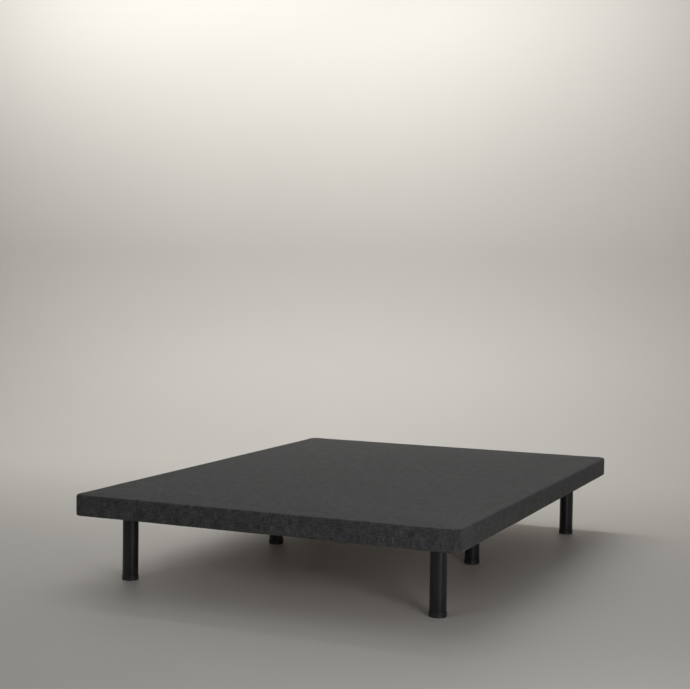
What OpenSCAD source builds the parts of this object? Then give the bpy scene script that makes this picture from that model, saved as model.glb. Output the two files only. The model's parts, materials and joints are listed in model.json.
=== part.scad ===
// Adjustable bed base: an upholstered deck in four hinged sections on a steel frame with six round legs.
// Two linear actuators raise the head section and the knee, and two links keep the calf section level.
// Origin at the middle of the footprint, on the floor. +X across the bed, +Y to the head end, +Z up.

/* [Deck] */
// Width of the upholstered deck
deck_w = 1372; // [1100:1:1660]
// Length of the calf section, at the foot end
calf_len = 520; // [430:1:640]
// Length of the thigh section
thigh_len = 343; // [320:1:420]
// Length of the fixed seat section
seat_len = 305; // [290:1:370]
// Length of the head section
head_len = 737; // [600:1:890]
// Thickness of the deck, from the underside to the top of the cover
deck_t = 73; // [66:1:88]
// Radius of the deck's upright corners
corner_r = 40; // [28:1:48]
// Thickness of the cloth cover
cover_t = 2; // [1:0.5:3]
// Thickness of the foam on top of the boards
top_foam_t = 13; // [10:1:16]
// Thickness of the foam round the sides
side_foam_t = 6; // [4:1:8]
// Thickness of the deck boards
board_t = 15; // [12:1:18]
// Thickness of the side and end boards
side_board_t = 15; // [12:1:18]

/* [Legs] */
// Height of the deck's underside above the floor
under_h = 235; // [210:1:290]
// Diameter of a leg
leg_d = 54; // [44:1:66]
// Wall of a leg
leg_wall = 2; // [1.5:0.5:3]
// Distance of the corner legs from the deck's sides
leg_inset_x = 126.5; // [120:0.5:140]
// Distance of the corner legs from the deck's ends
leg_inset_y = 168.5; // [140:0.5:200]
// Distance of the middle legs from the deck's sides
mid_leg_inset = 283; // [240:1:340]
// Thickness of a foot cap's side wall
cap_wall = 1.5; // [1.25:0.25:5]
// Height of a foot cap
cap_h = 16; // [12:1:24]
// Thickness of a foot cap's floor
cap_floor = 3; // [2:0.5:5]
// Diameter of a leg stud
stud_d = 10; // [8:1:12]

/* [Frame] */
// Width of a side rail
rail_w = 35; // [30:1:40]
// Height of a side rail
rail_h = 35; // [31:1:35]
// Wall of the frame tubes
tube_wall = 2; // [1.5:0.5:3]
// Width of a crossbar
bar_w = 30; // [25:1:34]
// Thickness of a leg plate
leg_plate_t = 4; // [3:0.5:5]
// Thickness of the rubber bumpers on the rails
bumper_t = 3; // [2:0.5:4]

/* [Hinges] */
// Diameter of the pins of the hinges on top of the boards
hinge_pin_d = 6; // [5:0.5:6]
// Outer diameter of a hinge knuckle
knuckle_d = 10; // [9:0.5:10.5]
// Height of the knee axis above the deck's underside
knee_rise = 12; // [11:0.5:16]
// Diameter of the knee pins and the link pins
pivot_d = 12; // [10:0.5:14.5]

/* [Lift] */
// Diameter of a lift tube
lift_tube_d = 32; // [26:1:40]
// Length of a head lift arm, from the tube to the roller
head_arm = 320; // [280:1:340]
// Length of a foot lift arm, from the tube to the roller
foot_arm = 240; // [210:1:250]
// Distance of the head lift tube from the head hinge
head_tube_offset = 95; // [90:1:100]
// Distance of the foot lift tube from the thigh hinge
foot_tube_offset = 60; // [56:1:64]
// Diameter of a roller
roller_d = 34; // [28:1:34]
// Distance of the lift arms from the middle of the bed
arm_x = 300; // [240:1:330]

/* [Actuators] */
// Distance of an actuator from the middle of the bed
actuator_x = 70; // [60:1:90]
// Length of a crank, from the lift tube to the rod's pin
crank_r = 95; // [80:1:110]
// Level distance from an actuator's rear pin to the rod's pin
reach = 550; // [500:1:570]
// Diameter of an actuator's outer tube
outer_tube_d = 40; // [36:1:42]
// Diameter of an actuator's rod
rod_d = 20; // [16:1:22]
// Diameter of a motor can
can_d = 52; // [44:1:64]

/* [Clearances] */
// Radial running clearance of a pin in its bore
run_fit = 0.05; // [0.03:0.01:0.08]
// Gap between moving sections, on each side of a hinge
section_gap = 1.5; // [1:0.1:2.5]
// Gap left by a glued joint
glue_gap = 0.2; // [0.1:0.1:0.3]
// Side gap between parts that turn past each other
side_gap = 0.4; // [0.3:0.1:0.6]
// Gap between a roller or bumper and the board above it at rest
rest_gap = 0.4; // [0.3:0.1:0.6]
// Clearance round the rod's pin in its crank slot
slot_fit = 0.7; // [0.6:0.1:1]

/* [Hidden] */
$fn = 64;

// Colours
CLOTH = "#434345";
FOAM = "#d9d2c2";
PLY = "#c8a878";
FRAME_BLACK = "#1d1d1f";
LEG_BLACK = "#242426";
PLASTIC = "#121213";
ZINC = "#a7abb0";
RUBBER = "#1a1a1a";
MOTOR = "#2b2c2f";

// Lengthwise places
deck_len = calf_len + thigh_len + seat_len + head_len;
foot_y = -deck_len / 2;
knee_y = foot_y + calf_len;
thigh_hinge_y = knee_y + thigh_len;
head_hinge_y = thigh_hinge_y + seat_len;
head_y = deck_len / 2;
head_tube_y = head_hinge_y - head_tube_offset;
foot_tube_y = thigh_hinge_y + foot_tube_offset;

// Heights
under_z = under_h;
top_z = under_z + deck_t;
foam_top_z = top_z - cover_t;
board_top_z = foam_top_z - top_foam_t;
board_z = board_top_z - board_t;
rail_top_z = board_z - bumper_t;
rail_z = rail_top_z - rail_h;
leg_top_z = rail_z - leg_plate_t;
hinge_z = board_top_z;
knee_z = under_z + knee_rise;
side_board_z = under_z + 3;
foam_low_z = under_z + 1;

// Deck layers, inwards from the cover's outer face
side_foam_out = cover_t;
side_board_out = cover_t + side_foam_t;
side_board_in = side_board_out + side_board_t;
side_board_x = deck_w / 2 - side_board_in;

// Frame
rail_x = deck_w / 2 - leg_inset_x;
rail_in_x = rail_x - rail_w / 2;
rail_out_x = rail_x + rail_w / 2;
rail_len = deck_len - 120;
mid_leg_x = deck_w / 2 - mid_leg_inset;
bearing = [22, lift_tube_d + 20, lift_tube_d + 28];
bearing_to_bar = 10.5;
mid_leg_y = foot_tube_y + bearing[1] / 2 + bearing_to_bar + bar_w / 2;
corner_leg_y = deck_len / 2 - leg_inset_y;
leg_plate = [leg_d + 36, leg_d + 2];
cap_d = leg_d + 2 * cap_wall;
leg_places = [[-rail_x, -corner_leg_y], [rail_x, -corner_leg_y], [-mid_leg_x, mid_leg_y],
              [mid_leg_x, mid_leg_y], [-rail_x, corner_leg_y], [rail_x, corner_leg_y]];
stud_clear = 0.2;
stud_below = 10;
stud_above = 18;

// Hinges on top of the boards
board_gap = knuckle_d / 2 + 1;
soft_gap = knuckle_d / 2 + 4.5;
leaf_t = 2;
leaf_reach = 45;
knuckle_len = 24;
leaf_places = [-0.36, 0, 0.36];
hinge_end_gap = 0.5;

// Knee hinge and calf links
knee_plate_t = 6;
knee_plate_reach = 80;
knee_plate_r = knee_rise - 1;
knee_pin_d = pivot_d - 2;
knee_relief = 2.2;
link_t = 6;
link_x = rail_out_x + 11;
link_end_r = pivot_d / 2 + 6;
link_pivot_y = thigh_hinge_y - 160.5;
link_pivot_z = rail_top_z - 13;
link_run = thigh_len;
link_drop = hinge_z - knee_z;
calf_pivot_y = link_pivot_y - link_run;
calf_pivot_z = link_pivot_z - link_drop;
collar_t = 3.5;

// Lift tubes, arms and rollers
lift_z = rail_z;
roller_r = roller_d / 2;
roller_w = 30;
roller_z = board_z - rest_gap - roller_r;
arm_t = 8;
arm_hub_r = lift_tube_d / 2 + 8;
arm_end_r = pivot_d / 2 + 6;
head_elbow_r = 135;
head_elbow_dip = 30;
foot_elbow_r = 105;
foot_elbow_dip = 14;
lift_tube_len = 2 * (rail_in_x - 5);
head_reach = sqrt(pow(head_arm, 2) - pow(roller_z - lift_z, 2));
foot_reach = sqrt(pow(foot_arm, 2) - pow(roller_z - lift_z, 2));
arm_slope_head = asin((roller_z - lift_z) / head_arm);
arm_slope_foot = asin((roller_z - lift_z) / foot_arm);

// Cranks: each hangs down, leaning back from upright so that it swings about evenly through its travel
head_crank_lean = 14;
foot_crank_lean = 6;
crank_t = 5;
crank_inner = 15;
crank_end_r = pivot_d / 2 + 9;
head_slot_run = 6.2;
foot_slot_run = 2.4;

// Actuators: u runs forward from the rear pin to the rod's pin
rear_drop = 35;
rear_z = lift_z - rear_drop;
head_pin_back = crank_r * sin(head_crank_lean);
head_pin_drop = crank_r * cos(head_crank_lean);
foot_pin_back = crank_r * sin(foot_crank_lean);
foot_pin_drop = crank_r * cos(foot_crank_lean);
head_rear_y = head_tube_y - head_pin_back - reach;
foot_rear_y = foot_tube_y + foot_pin_back + reach;
head_tilt_down = atan2(head_pin_drop - rear_drop, reach);
foot_tilt_down = atan2(foot_pin_drop - rear_drop, reach);
head_stroke_len = norm([reach, head_pin_drop - rear_drop]);
foot_stroke_len = norm([reach, foot_pin_drop - rear_drop]);
eye_w = 24;
eye_r = pivot_d / 2 + 8;
ear_t = 6;
ear_half = pivot_d / 2 + 9;
housing_from = 24;
housing_to = 120;
housing_w = can_d + 12;
housing_top = outer_tube_d / 2 + 8;
can_len = 130;
can_drop = outer_tube_d / 2 + can_d / 2 + 2;
housing_bottom = -can_drop - can_d / 2 - 4;
outer_tube_end = 90;
rod_inside = 180;

// Control box, under the crossbar that holds the head motor
box_size = [180, 100, 34];
box_wall = 3;
box_centre = [-240, head_rear_y];
box_top_z = rail_z;
box_lid_t = 4;
lead_d = 6;
lead_r = lead_d / 2;
lead_z = rail_z - lead_r - 0.1;
lead_gap = 0.8;

// ---- Helpers ----

// Outline of the whole deck, drawn in by inset
module deck_plan(inset) {
    half_w = deck_w / 2 - inset;
    half_l = deck_len / 2 - inset;
    r = corner_r - inset;
    square([2 * half_w, 2 * (half_l - r)], center = true);
    square([2 * (half_w - r), 2 * half_l], center = true);
    for (sx = [-1, 1], sy = [-1, 1])
        translate([sx * (half_w - r), sy * (half_l - r)])
            circle(r);
}

// Flat layer of the deck between two lengthwise places and two heights
module layer(inset, y_a, y_b, z_a, z_b) {
    translate([0, 0, z_a])
        linear_extrude(z_b - z_a)
            intersection() {
                deck_plan(inset);
                translate([-deck_w, y_a])
                    square([2 * deck_w, y_b - y_a]);
            }
}

// Outline drawn in a side view, lengthwise and upwards, given a thickness across the bed from x
module side_plate(x, t) {
    translate([x, 0, 0])
        rotate([90, 0, 90])
            linear_extrude(t)
                children();
}

// Round bar across the bed
module cross_pin(x, len, y, z, d) {
    translate([x, y, z])
        rotate([0, 90, 0])
            cylinder(d = d, h = len);
}

// The same thing at both sides of the bed
module both_sides() {
    children();
    mirror([1, 0, 0])
        children();
}

// Closed rectangular tube standing on its lower corner
module box_tube(size, wall) {
    difference() {
        cube(size);
        translate([wall, wall, wall])
            cube([size[0] - 2 * wall, size[1] - 2 * wall, size[2] - 2 * wall]);
    }
}

// Straight bar with round ends in a side view, from the origin along its own length
module bar_outline(len, r_a, r_b) {
    circle(r_a);
    translate([len, 0])
        circle(r_b);
    translate([0, -min(r_a, r_b)])
        square([len, 2 * min(r_a, r_b)]);
}

// Room that soft layers leave round a hinge on top of the boards, and the wedge that the knee closes
module hinge_room() {
    for (y = [thigh_hinge_y, head_hinge_y])
        translate([-deck_w, y - soft_gap, hinge_z])
            cube([2 * deck_w, 2 * soft_gap, deck_t]);
    side_plate(-deck_w, 2 * deck_w)
        translate([knee_y, knee_z])
            polygon([[0, 0], [-section_gap - knee_relief, -knee_rise - 1],
                     [section_gap + knee_relief, -knee_rise - 1]]);
}

// ---- Deck sections ----

module cover(y_a, y_b) {
    color(CLOTH)
        difference() {
            layer(0, y_a, y_b, under_z, top_z);
            layer(cover_t, y_a - 1, y_b + 1, under_z - 1, foam_top_z);
            hinge_room();
        }
}

// Foam pad on top of the board, and strips round the sides, glued at the corners
module foam(y_a, y_b, y_cuts) {
    color(FOAM)
        difference() {
            union() {
                layer(side_foam_out, y_a, y_b, board_top_z, foam_top_z);
                difference() {
                    layer(side_foam_out, y_a, y_b, foam_low_z, board_top_z - glue_gap);
                    layer(side_board_out, y_a - 1, y_b + 1, under_z, board_top_z);
                    for (y = y_cuts)
                        translate([-deck_w, y, under_z])
                            cube([2 * deck_w, glue_gap, board_top_z - under_z]);
                }
            }
            hinge_room();
        }
}

// Board with housings for the hinge leaves let into its top
module board(y_a, y_b) {
    housing_len = 3 * knuckle_len + 2 * hinge_end_gap;
    color(PLY)
        difference() {
            layer(side_board_out, y_a, y_b, board_z, board_top_z);
            for (y = [thigh_hinge_y, head_hinge_y], f = leaf_places)
                translate([f * deck_w - housing_len / 2, y - leaf_reach, board_top_z - leaf_t])
                    cube([housing_len, 2 * leaf_reach, leaf_t + 1]);
        }
}

// Side boards under the board's edges, with an end board where the section ends the deck
module side_boards(y_a, y_b, y_cuts) {
    color(PLY)
        difference() {
            layer(side_board_out, y_a, y_b, side_board_z, board_z);
            layer(side_board_in, y_a - 1, y_b + 1, under_z, board_z + 1);
            for (y = y_cuts)
                translate([-deck_w, y, under_z])
                    cube([2 * deck_w, glue_gap, deck_t]);
            hinge_room();
        }
}

head_cut_y = head_y - side_board_in;
calf_cut_y = foot_y + side_board_in;
foam_corner = corner_r + 6;

module seat_board() {
    board(thigh_hinge_y + board_gap, head_hinge_y - board_gap);
}

module seat_side_boards() {
    side_boards(thigh_hinge_y + section_gap, head_hinge_y - section_gap, []);
}

module seat_foam() {
    foam(thigh_hinge_y + section_gap, head_hinge_y - section_gap, []);
}

module seat_cover() {
    cover(thigh_hinge_y + section_gap, head_hinge_y - section_gap);
}

module head_board() {
    board(head_hinge_y + board_gap, head_y);
}

module head_side_boards() {
    side_boards(head_hinge_y + section_gap, head_y, [head_cut_y]);
}

module head_foam() {
    foam(head_hinge_y + section_gap, head_y, [head_y - foam_corner]);
}

module head_cover() {
    cover(head_hinge_y + section_gap, head_y);
}

module thigh_board() {
    board(knee_y + section_gap, thigh_hinge_y - board_gap);
}

module thigh_side_boards() {
    side_boards(knee_y + section_gap, thigh_hinge_y - section_gap, []);
}

module thigh_foam() {
    foam(knee_y + section_gap, thigh_hinge_y - section_gap, []);
}

module thigh_cover() {
    cover(knee_y + section_gap, thigh_hinge_y - section_gap);
}

module calf_board() {
    board(foot_y, knee_y - section_gap);
}

module calf_side_boards() {
    side_boards(foot_y, knee_y - section_gap, [calf_cut_y]);
}

module calf_foam() {
    foam(foot_y, knee_y - section_gap, [foot_y + foam_corner]);
}

module calf_cover() {
    cover(foot_y, knee_y - section_gap);
}

// ---- Hinges ----

// Leaves to one side of a hinge line: toward +1 is the head end. Each has its knuckles at knuckle_at.
module hinge_leaves(y, toward, knuckle_at) {
    color(ZINC)
        for (f = leaf_places)
            translate([f * deck_w, y, hinge_z])
                difference() {
                    union() {
                        leaf_y = toward > 0 ? board_gap : -leaf_reach;
                        translate([-1.5 * knuckle_len, leaf_y, -leaf_t])
                            cube([3 * knuckle_len, leaf_reach - board_gap, leaf_t]);
                        for (k = knuckle_at) {
                            span = knuckle_len - hinge_end_gap;
                            cross_pin((k - 0.5) * knuckle_len + hinge_end_gap / 2, span, 0, 0, knuckle_d);
                            tab_y = toward > 0 ? 0 : -board_gap - 1;
                            translate([(k - 0.5) * knuckle_len + hinge_end_gap / 2, tab_y, -leaf_t])
                                cube([span, board_gap + 1, leaf_t]);
                        }
                    }
                    cross_pin(-2 * knuckle_len, 4 * knuckle_len, 0, 0, hinge_pin_d + 2 * run_fit);
                }
}

module seat_hinge_leaves() {
    hinge_leaves(thigh_hinge_y, 1, [-1, 1]);
    hinge_leaves(head_hinge_y, -1, [-1, 1]);
}

module head_hinge_leaves() {
    hinge_leaves(head_hinge_y, 1, [0]);
}

module thigh_hinge_leaves() {
    hinge_leaves(thigh_hinge_y, -1, [0]);
}

module hinge_pins() {
    color(ZINC)
        for (y = [thigh_hinge_y, head_hinge_y], f = leaf_places)
            cross_pin(f * deck_w - 1.5 * knuckle_len, 3 * knuckle_len, y, hinge_z, hinge_pin_d);
}

module thigh_knee_plates() {
    color(ZINC)
        both_sides()
            side_plate(side_board_x - knee_plate_t, knee_plate_t)
                difference() {
                    translate([knee_y, knee_z])
                        bar_outline(knee_plate_reach, knee_plate_r, knee_plate_r);
                    translate([knee_y, knee_z])
                        circle(d = knee_pin_d + 2 * run_fit);
                }
}

// Knee plates with their pins, and the brackets that the calf links pull on
module calf_knee_plates() {
    plate_x = side_board_x - 2 * knee_plate_t - side_gap;
    bracket_x = link_x + link_t + side_gap + 6;
    pin_x = link_x - side_gap - collar_t;
    color(ZINC)
        both_sides() {
            side_plate(plate_x, knee_plate_t)
                translate([knee_y, knee_z])
                    rotate(180)
                        bar_outline(knee_plate_reach, knee_plate_r, knee_plate_r);
            side_plate(plate_x, side_board_x - plate_x)
                translate([knee_y - knee_plate_reach, knee_z - knee_plate_r])
                    square([knee_plate_reach - 2 * knee_plate_r, 2 * knee_plate_r]);
            cross_pin(plate_x - 4, side_board_x - side_gap - plate_x + 4, knee_y, knee_z, knee_pin_d);
            cross_pin(plate_x - 4, 4, knee_y, knee_z, knee_pin_d + 6);
            side_plate(bracket_x, link_t)
                translate([calf_pivot_y, calf_pivot_z])
                    rotate(90)
                        bar_outline(board_z - calf_pivot_z - link_end_r - 4, link_end_r + 3, link_end_r + 3);
            translate([bracket_x - 12, calf_pivot_y - 30, board_z - 4])
                cube([36, 60, 4]);
            side_plate(bracket_x, link_t)
                translate([calf_pivot_y - link_end_r - 3, board_z - 28])
                    square([2 * (link_end_r + 3), 28]);
            cross_pin(link_x + link_t + side_gap, 6, calf_pivot_y, calf_pivot_z, pivot_d + 8);
            cross_pin(pin_x, link_t + collar_t + 12, calf_pivot_y, calf_pivot_z, pivot_d);
            cross_pin(pin_x, collar_t, calf_pivot_y, calf_pivot_z, pivot_d + 6);
        }
}

module calf_links() {
    color(FRAME_BLACK)
        both_sides()
            side_plate(link_x, link_t)
                difference() {
                    translate([calf_pivot_y, calf_pivot_z])
                        rotate(atan2(link_drop, link_run))
                            bar_outline(norm([link_run, link_drop]), link_end_r, link_end_r);
                    translate([link_pivot_y, link_pivot_z])
                        circle(d = pivot_d + 2 * run_fit);
                    translate([calf_pivot_y, calf_pivot_z])
                        circle(d = pivot_d + 2 * run_fit);
                }
}

// ---- Frame ----

module side_rail(side) {
    color(FRAME_BLACK)
        difference() {
            translate([side * rail_x - rail_w / 2, -rail_len / 2, rail_z])
                box_tube([rail_w, rail_len, rail_h], tube_wall);
            for (y = [-corner_leg_y, corner_leg_y])
                translate([side * rail_x, y, rail_z - 1])
                    cylinder(d = stud_d + 2 * stud_clear, h = tube_wall + 2);
        }
}

module side_rail_left() {
    side_rail(-1);
}

module side_rail_right() {
    side_rail(1);
}

module crossbar(y) {
    translate([-rail_in_x, y - bar_w / 2, rail_z])
        box_tube([2 * rail_in_x, bar_w, rail_h], tube_wall);
}

module foot_crossbar() {
    color(FRAME_BLACK)
        crossbar(-corner_leg_y);
}

module middle_crossbar() {
    color(FRAME_BLACK)
        difference() {
            crossbar(mid_leg_y);
            for (side = [-1, 1])
                translate([side * mid_leg_x, mid_leg_y, rail_z - 1])
                    cylinder(d = stud_d + 2 * stud_clear, h = tube_wall + 2);
        }
}

module head_crossbar() {
    color(FRAME_BLACK)
        crossbar(corner_leg_y);
}

// Crossbar with the two ears and the pin that hold an actuator's rear end
module motor_crossbar(x, y) {
    color(FRAME_BLACK) {
        crossbar(y);
        for (s = [-1, 1])
            side_plate(x + s * (eye_w / 2 + side_gap + ear_t / 2) - ear_t / 2, ear_t) {
                translate([y, rear_z])
                    circle(ear_half);
                translate([y - ear_half, rear_z])
                    square([2 * ear_half, rail_z - rear_z]);
            }
    }
    color(ZINC) {
        pin_half = eye_w / 2 + side_gap + ear_t + collar_t;
        cross_pin(x - pin_half, 2 * pin_half, y, rear_z, pivot_d);
        for (s = [-1, 1])
            cross_pin(x + s * (pin_half - collar_t / 2) - collar_t / 2, collar_t, y, rear_z, pivot_d + 6);
    }
}

module head_motor_crossbar() {
    motor_crossbar(actuator_x, head_rear_y);
}

module foot_motor_crossbar() {
    motor_crossbar(-actuator_x, foot_rear_y);
}

module leg_plates() {
    color(FRAME_BLACK)
        for (p = leg_places)
            difference() {
                translate([p[0] - leg_plate[0] / 2, p[1] - leg_plate[1] / 2, leg_top_z])
                    cube([leg_plate[0], leg_plate[1], leg_plate_t]);
                translate([p[0], p[1], leg_top_z - 1])
                    cylinder(d = stud_d + 2 * stud_clear, h = leg_plate_t + 2);
            }
}

module leg_studs() {
    color(ZINC)
        for (p = leg_places) {
            translate([p[0], p[1], leg_top_z - stud_below])
                cylinder(d = stud_d, h = stud_below + leg_plate_t + stud_above);
            translate([p[0], p[1], rail_z + tube_wall])
                cylinder(d = stud_d + 8, h = 8, $fn = 6);
        }
}

// Tube with a drilled end plate at the top, standing on the floor of its cap
module leg(i) {
    p = leg_places[i];
    color(LEG_BLACK)
        translate([p[0], p[1], cap_floor])
            difference() {
                cylinder(d = leg_d, h = leg_top_z - cap_floor);
                translate([0, 0, -1])
                    cylinder(d = leg_d - 2 * leg_wall, h = leg_top_z - cap_floor - 3);
                cylinder(d = stud_d, h = leg_top_z);
            }
}

module leg_foot_left() {
    leg(0);
}

module leg_foot_right() {
    leg(1);
}

module leg_middle_left() {
    leg(2);
}

module leg_middle_right() {
    leg(3);
}

module leg_head_left() {
    leg(4);
}

module leg_head_right() {
    leg(5);
}

module foot_caps() {
    edge = 2.5;
    r = cap_d / 2;
    color(PLASTIC)
        for (p = leg_places)
            translate([p[0], p[1], 0])
                difference() {
                    rotate_extrude() {
                        square([r - edge, cap_h]);
                        translate([0, edge])
                            square([r, cap_h - edge - 1]);
                        translate([r - edge, edge])
                            circle(edge);
                        translate([0, cap_h - 1])
                            square([r - 1, 1]);
                    }
                    translate([0, 0, cap_floor])
                        cylinder(d = leg_d, h = cap_h);
                }
}

// Bearings of the lift tubes on the rails' inner faces, and pivots of the calf links on the outer faces
module frame_pivots() {
    bearing_x = rail_in_x - bearing[0];
    color(FRAME_BLACK)
        both_sides() {
            for (y = [head_tube_y, foot_tube_y])
                difference() {
                    translate([bearing_x, y - bearing[1] / 2, lift_z - bearing[2] / 2 + 2])
                        cube(bearing);
                    cross_pin(bearing_x - 1, bearing[0] - 3, y, lift_z, lift_tube_d + 2 * run_fit);
                }
        }
    color(ZINC)
        both_sides() {
            boss = link_x - side_gap - rail_out_x;
            cross_pin(rail_out_x, boss, link_pivot_y, link_pivot_z, pivot_d + 10);
            pin_end = boss + link_t + 2 * side_gap + collar_t;
            cross_pin(rail_out_x, pin_end, link_pivot_y, link_pivot_z, pivot_d);
            cross_pin(link_x + link_t + side_gap, collar_t, link_pivot_y, link_pivot_z, pivot_d + 6);
        }
}

// Rubber pads on the rails: full height under the fixed seat, a rest gap lower under the others
module deck_bumpers() {
    pad = [25, 60];
    moving = [foot_y + 95, knee_y - 70, knee_y + 70, thigh_hinge_y - 70, head_hinge_y + 90,
              head_hinge_y + 385, head_y - 95];
    color(RUBBER)
        both_sides() {
            for (y = moving)
                translate([rail_x - pad[0] / 2, y - pad[1] / 2, rail_top_z])
                    cube([pad[0], pad[1], bumper_t - rest_gap]);
            for (y = [thigh_hinge_y + 70, head_hinge_y - 70])
                translate([rail_x - pad[0] / 2, y - pad[1] / 2, rail_top_z])
                    cube([pad[0], pad[1], bumper_t]);
        }
}

// ---- Lift tubes ----

module lift_tube(y) {
    color(FRAME_BLACK)
        difference() {
            cross_pin(-lift_tube_len / 2, lift_tube_len, y, lift_z, lift_tube_d);
            cross_pin(-lift_tube_len / 2 - 1, lift_tube_len + 2, y, lift_z, lift_tube_d - 2 * tube_wall);
        }
}

// Arm with its roller's axle, welded to a tube at y, and running toward +1 or -1 along the bed. It dips
// to an elbow first, so that it passes under the hinge line as it rises.
module lift_arm(y, toward, len, slope, elbow_r, elbow_dip) {
    end = [toward * len * cos(slope), len * sin(slope)];
    elbow = [toward * elbow_r * cos(elbow_dip), -elbow_r * sin(elbow_dip)];
    axle_len = arm_t + roller_w + 2 * side_gap + collar_t;
    side_plate(arm_x, arm_t)
        translate([y, lift_z])
            difference() {
                union() {
                    circle(arm_hub_r);
                    straight_between([0, 0], elbow);
                    straight_between(elbow, end);
                }
                circle(d = lift_tube_d);
            }
    cross_pin(arm_x, axle_len, y + end[0], lift_z + end[1], pivot_d);
    cross_pin(arm_x + axle_len - collar_t, collar_t, y + end[0], lift_z + end[1], pivot_d + 6);
}

// Straight stretch of an arm between two points in a side view, with round ends
module straight_between(from, to) {
    run = to - from;
    translate(from)
        rotate(atan2(run[1], run[0]))
            bar_outline(norm(run), arm_end_r, arm_end_r);
}

// Two slotted plates that hang from a tube, with a slot in which the rod's pin rides
module crank(x, y, toward, lean, slot_run) {
    for (s = [-1, 1])
        side_plate(x + s * (crank_inner + crank_t / 2) - crank_t / 2, crank_t)
            translate([y, lift_z])
                rotate(-90 - toward * lean)
                    difference() {
                        bar_outline(crank_r, arm_hub_r, crank_end_r);
                        circle(d = lift_tube_d);
                        translate([crank_r - slot_run, 0])
                            bar_outline(slot_run, pivot_d / 2 + slot_fit, pivot_d / 2 + slot_fit);
                    }
}

module rollers(end_y) {
    color(PLASTIC)
        both_sides()
            difference() {
                cross_pin(arm_x + arm_t + side_gap, roller_w, end_y, roller_z, roller_d);
                cross_pin(arm_x, 2 * roller_w, end_y, roller_z, pivot_d + 2 * run_fit);
            }
}

module head_lift_tube() {
    lift_tube(head_tube_y);
}

module head_lift_arms() {
    color(FRAME_BLACK) {
        both_sides()
            lift_arm(head_tube_y, 1, head_arm, arm_slope_head, head_elbow_r, head_elbow_dip);
        crank(actuator_x, head_tube_y, 1, head_crank_lean, head_slot_run);
    }
}

module head_rollers() {
    rollers(head_tube_y + head_reach);
}

module foot_lift_tube() {
    lift_tube(foot_tube_y);
}

module foot_lift_arms() {
    color(FRAME_BLACK) {
        both_sides()
            lift_arm(foot_tube_y, -1, foot_arm, arm_slope_foot, foot_elbow_r, foot_elbow_dip);
        crank(-actuator_x, foot_tube_y, -1, foot_crank_lean, foot_slot_run);
    }
}

module foot_rollers() {
    rollers(foot_tube_y - foot_reach);
}

// ---- Actuators, drawn with the rear pin at the origin and the rod running along +Y ----

// Puts an actuator's part in place
module place_head() {
    translate([actuator_x, head_rear_y, rear_z])
        rotate([-head_tilt_down, 0, 0])
            children();
}

module place_foot() {
    translate([-actuator_x, foot_rear_y, rear_z])
        mirror([0, 1, 0])
            rotate([-foot_tilt_down, 0, 0])
                children();
}

module motor_housing() {
    color(MOTOR)
        difference() {
            union() {
                cross_pin(-eye_w / 2, eye_w, 0, 0, 2 * eye_r);
                translate([-eye_w / 2, 0, -10])
                    cube([eye_w, housing_from + 1, 20]);
                translate([0, housing_from, 0])
                    rotate([-90, 0, 0])
                        linear_extrude(housing_to - housing_from)
                            housing_outline();
            }
            cross_pin(-eye_w, 2 * eye_w, 0, 0, pivot_d + 2 * run_fit);
        }
}

// Gear housing seen along the rod, with rounded corners
module housing_outline() {
    r = 10;
    low = -housing_bottom;
    for (x = [-1, 1], y = [-housing_top + r, low - r])
        translate([x * (housing_w / 2 - r), y])
            circle(r);
    translate([-housing_w / 2, -housing_top + r])
        square([housing_w, housing_top + low - 2 * r]);
    translate([-housing_w / 2 + r, -housing_top])
        square([housing_w - 2 * r, housing_top + low]);
}

module motor_can() {
    color(ZINC)
        translate([0, housing_to, -can_drop])
            rotate([-90, 0, 0]) {
                cylinder(d = can_d, h = can_len - 6);
                cylinder(d = can_d - 8, h = can_len);
            }
}

module actuator_tube(stroke_len) {
    tube_to = stroke_len - outer_tube_end;
    color(FRAME_BLACK)
        translate([0, housing_to, 0])
            rotate([-90, 0, 0])
                difference() {
                    cylinder(d = outer_tube_d, h = tube_to - housing_to);
                    translate([0, 0, 20])
                        cylinder(d = rod_d + 2 * run_fit, h = tube_to);
                }
}

// Rod with an eye at its end and the pin that rides in the crank's slots
module actuator_rod(stroke_len) {
    eye_half = crank_inner - side_gap;
    pin_half = crank_inner + crank_t + side_gap + collar_t;
    color(ZINC) {
        translate([0, rod_inside, 0])
            rotate([-90, 0, 0])
                cylinder(d = rod_d, h = stroke_len - rod_inside);
        cross_pin(-eye_half, 2 * eye_half, stroke_len, 0, rod_d + 6);
        cross_pin(-pin_half, 2 * pin_half, stroke_len, 0, pivot_d);
        for (s = [-1, 1])
            cross_pin(s * (pin_half - collar_t / 2) - collar_t / 2, collar_t, stroke_len, 0, pivot_d + 8);
    }
}

module head_motor_housing() {
    place_head()
        motor_housing();
}

module head_motor_can() {
    place_head()
        motor_can();
}

module head_actuator_tube() {
    place_head()
        actuator_tube(head_stroke_len);
}

module head_actuator_rod() {
    place_head()
        actuator_rod(head_stroke_len);
}

module foot_motor_housing() {
    place_foot()
        motor_housing();
}

module foot_motor_can() {
    place_foot()
        motor_can();
}

module foot_actuator_tube() {
    place_foot()
        actuator_tube(foot_stroke_len);
}

module foot_actuator_rod() {
    place_foot()
        actuator_rod(foot_stroke_len);
}

// ---- Control box ----

// Open-topped shell, closed below by its lid and fixed to the crossbar above it
module control_box_base() {
    depth = box_size[2] - box_lid_t;
    low_z = box_top_z - depth;
    color(PLASTIC)
        difference() {
            translate([box_centre[0] - box_size[0] / 2, box_centre[1] - box_size[1] / 2, low_z])
                cube([box_size[0], box_size[1], depth]);
            translate([box_centre[0] - box_size[0] / 2 + box_wall, box_centre[1] - box_size[1] / 2 + box_wall,
                       low_z - 1])
                cube([box_size[0] - 2 * box_wall, box_size[1] - 2 * box_wall, depth - box_wall + 1]);
        }
}

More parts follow.
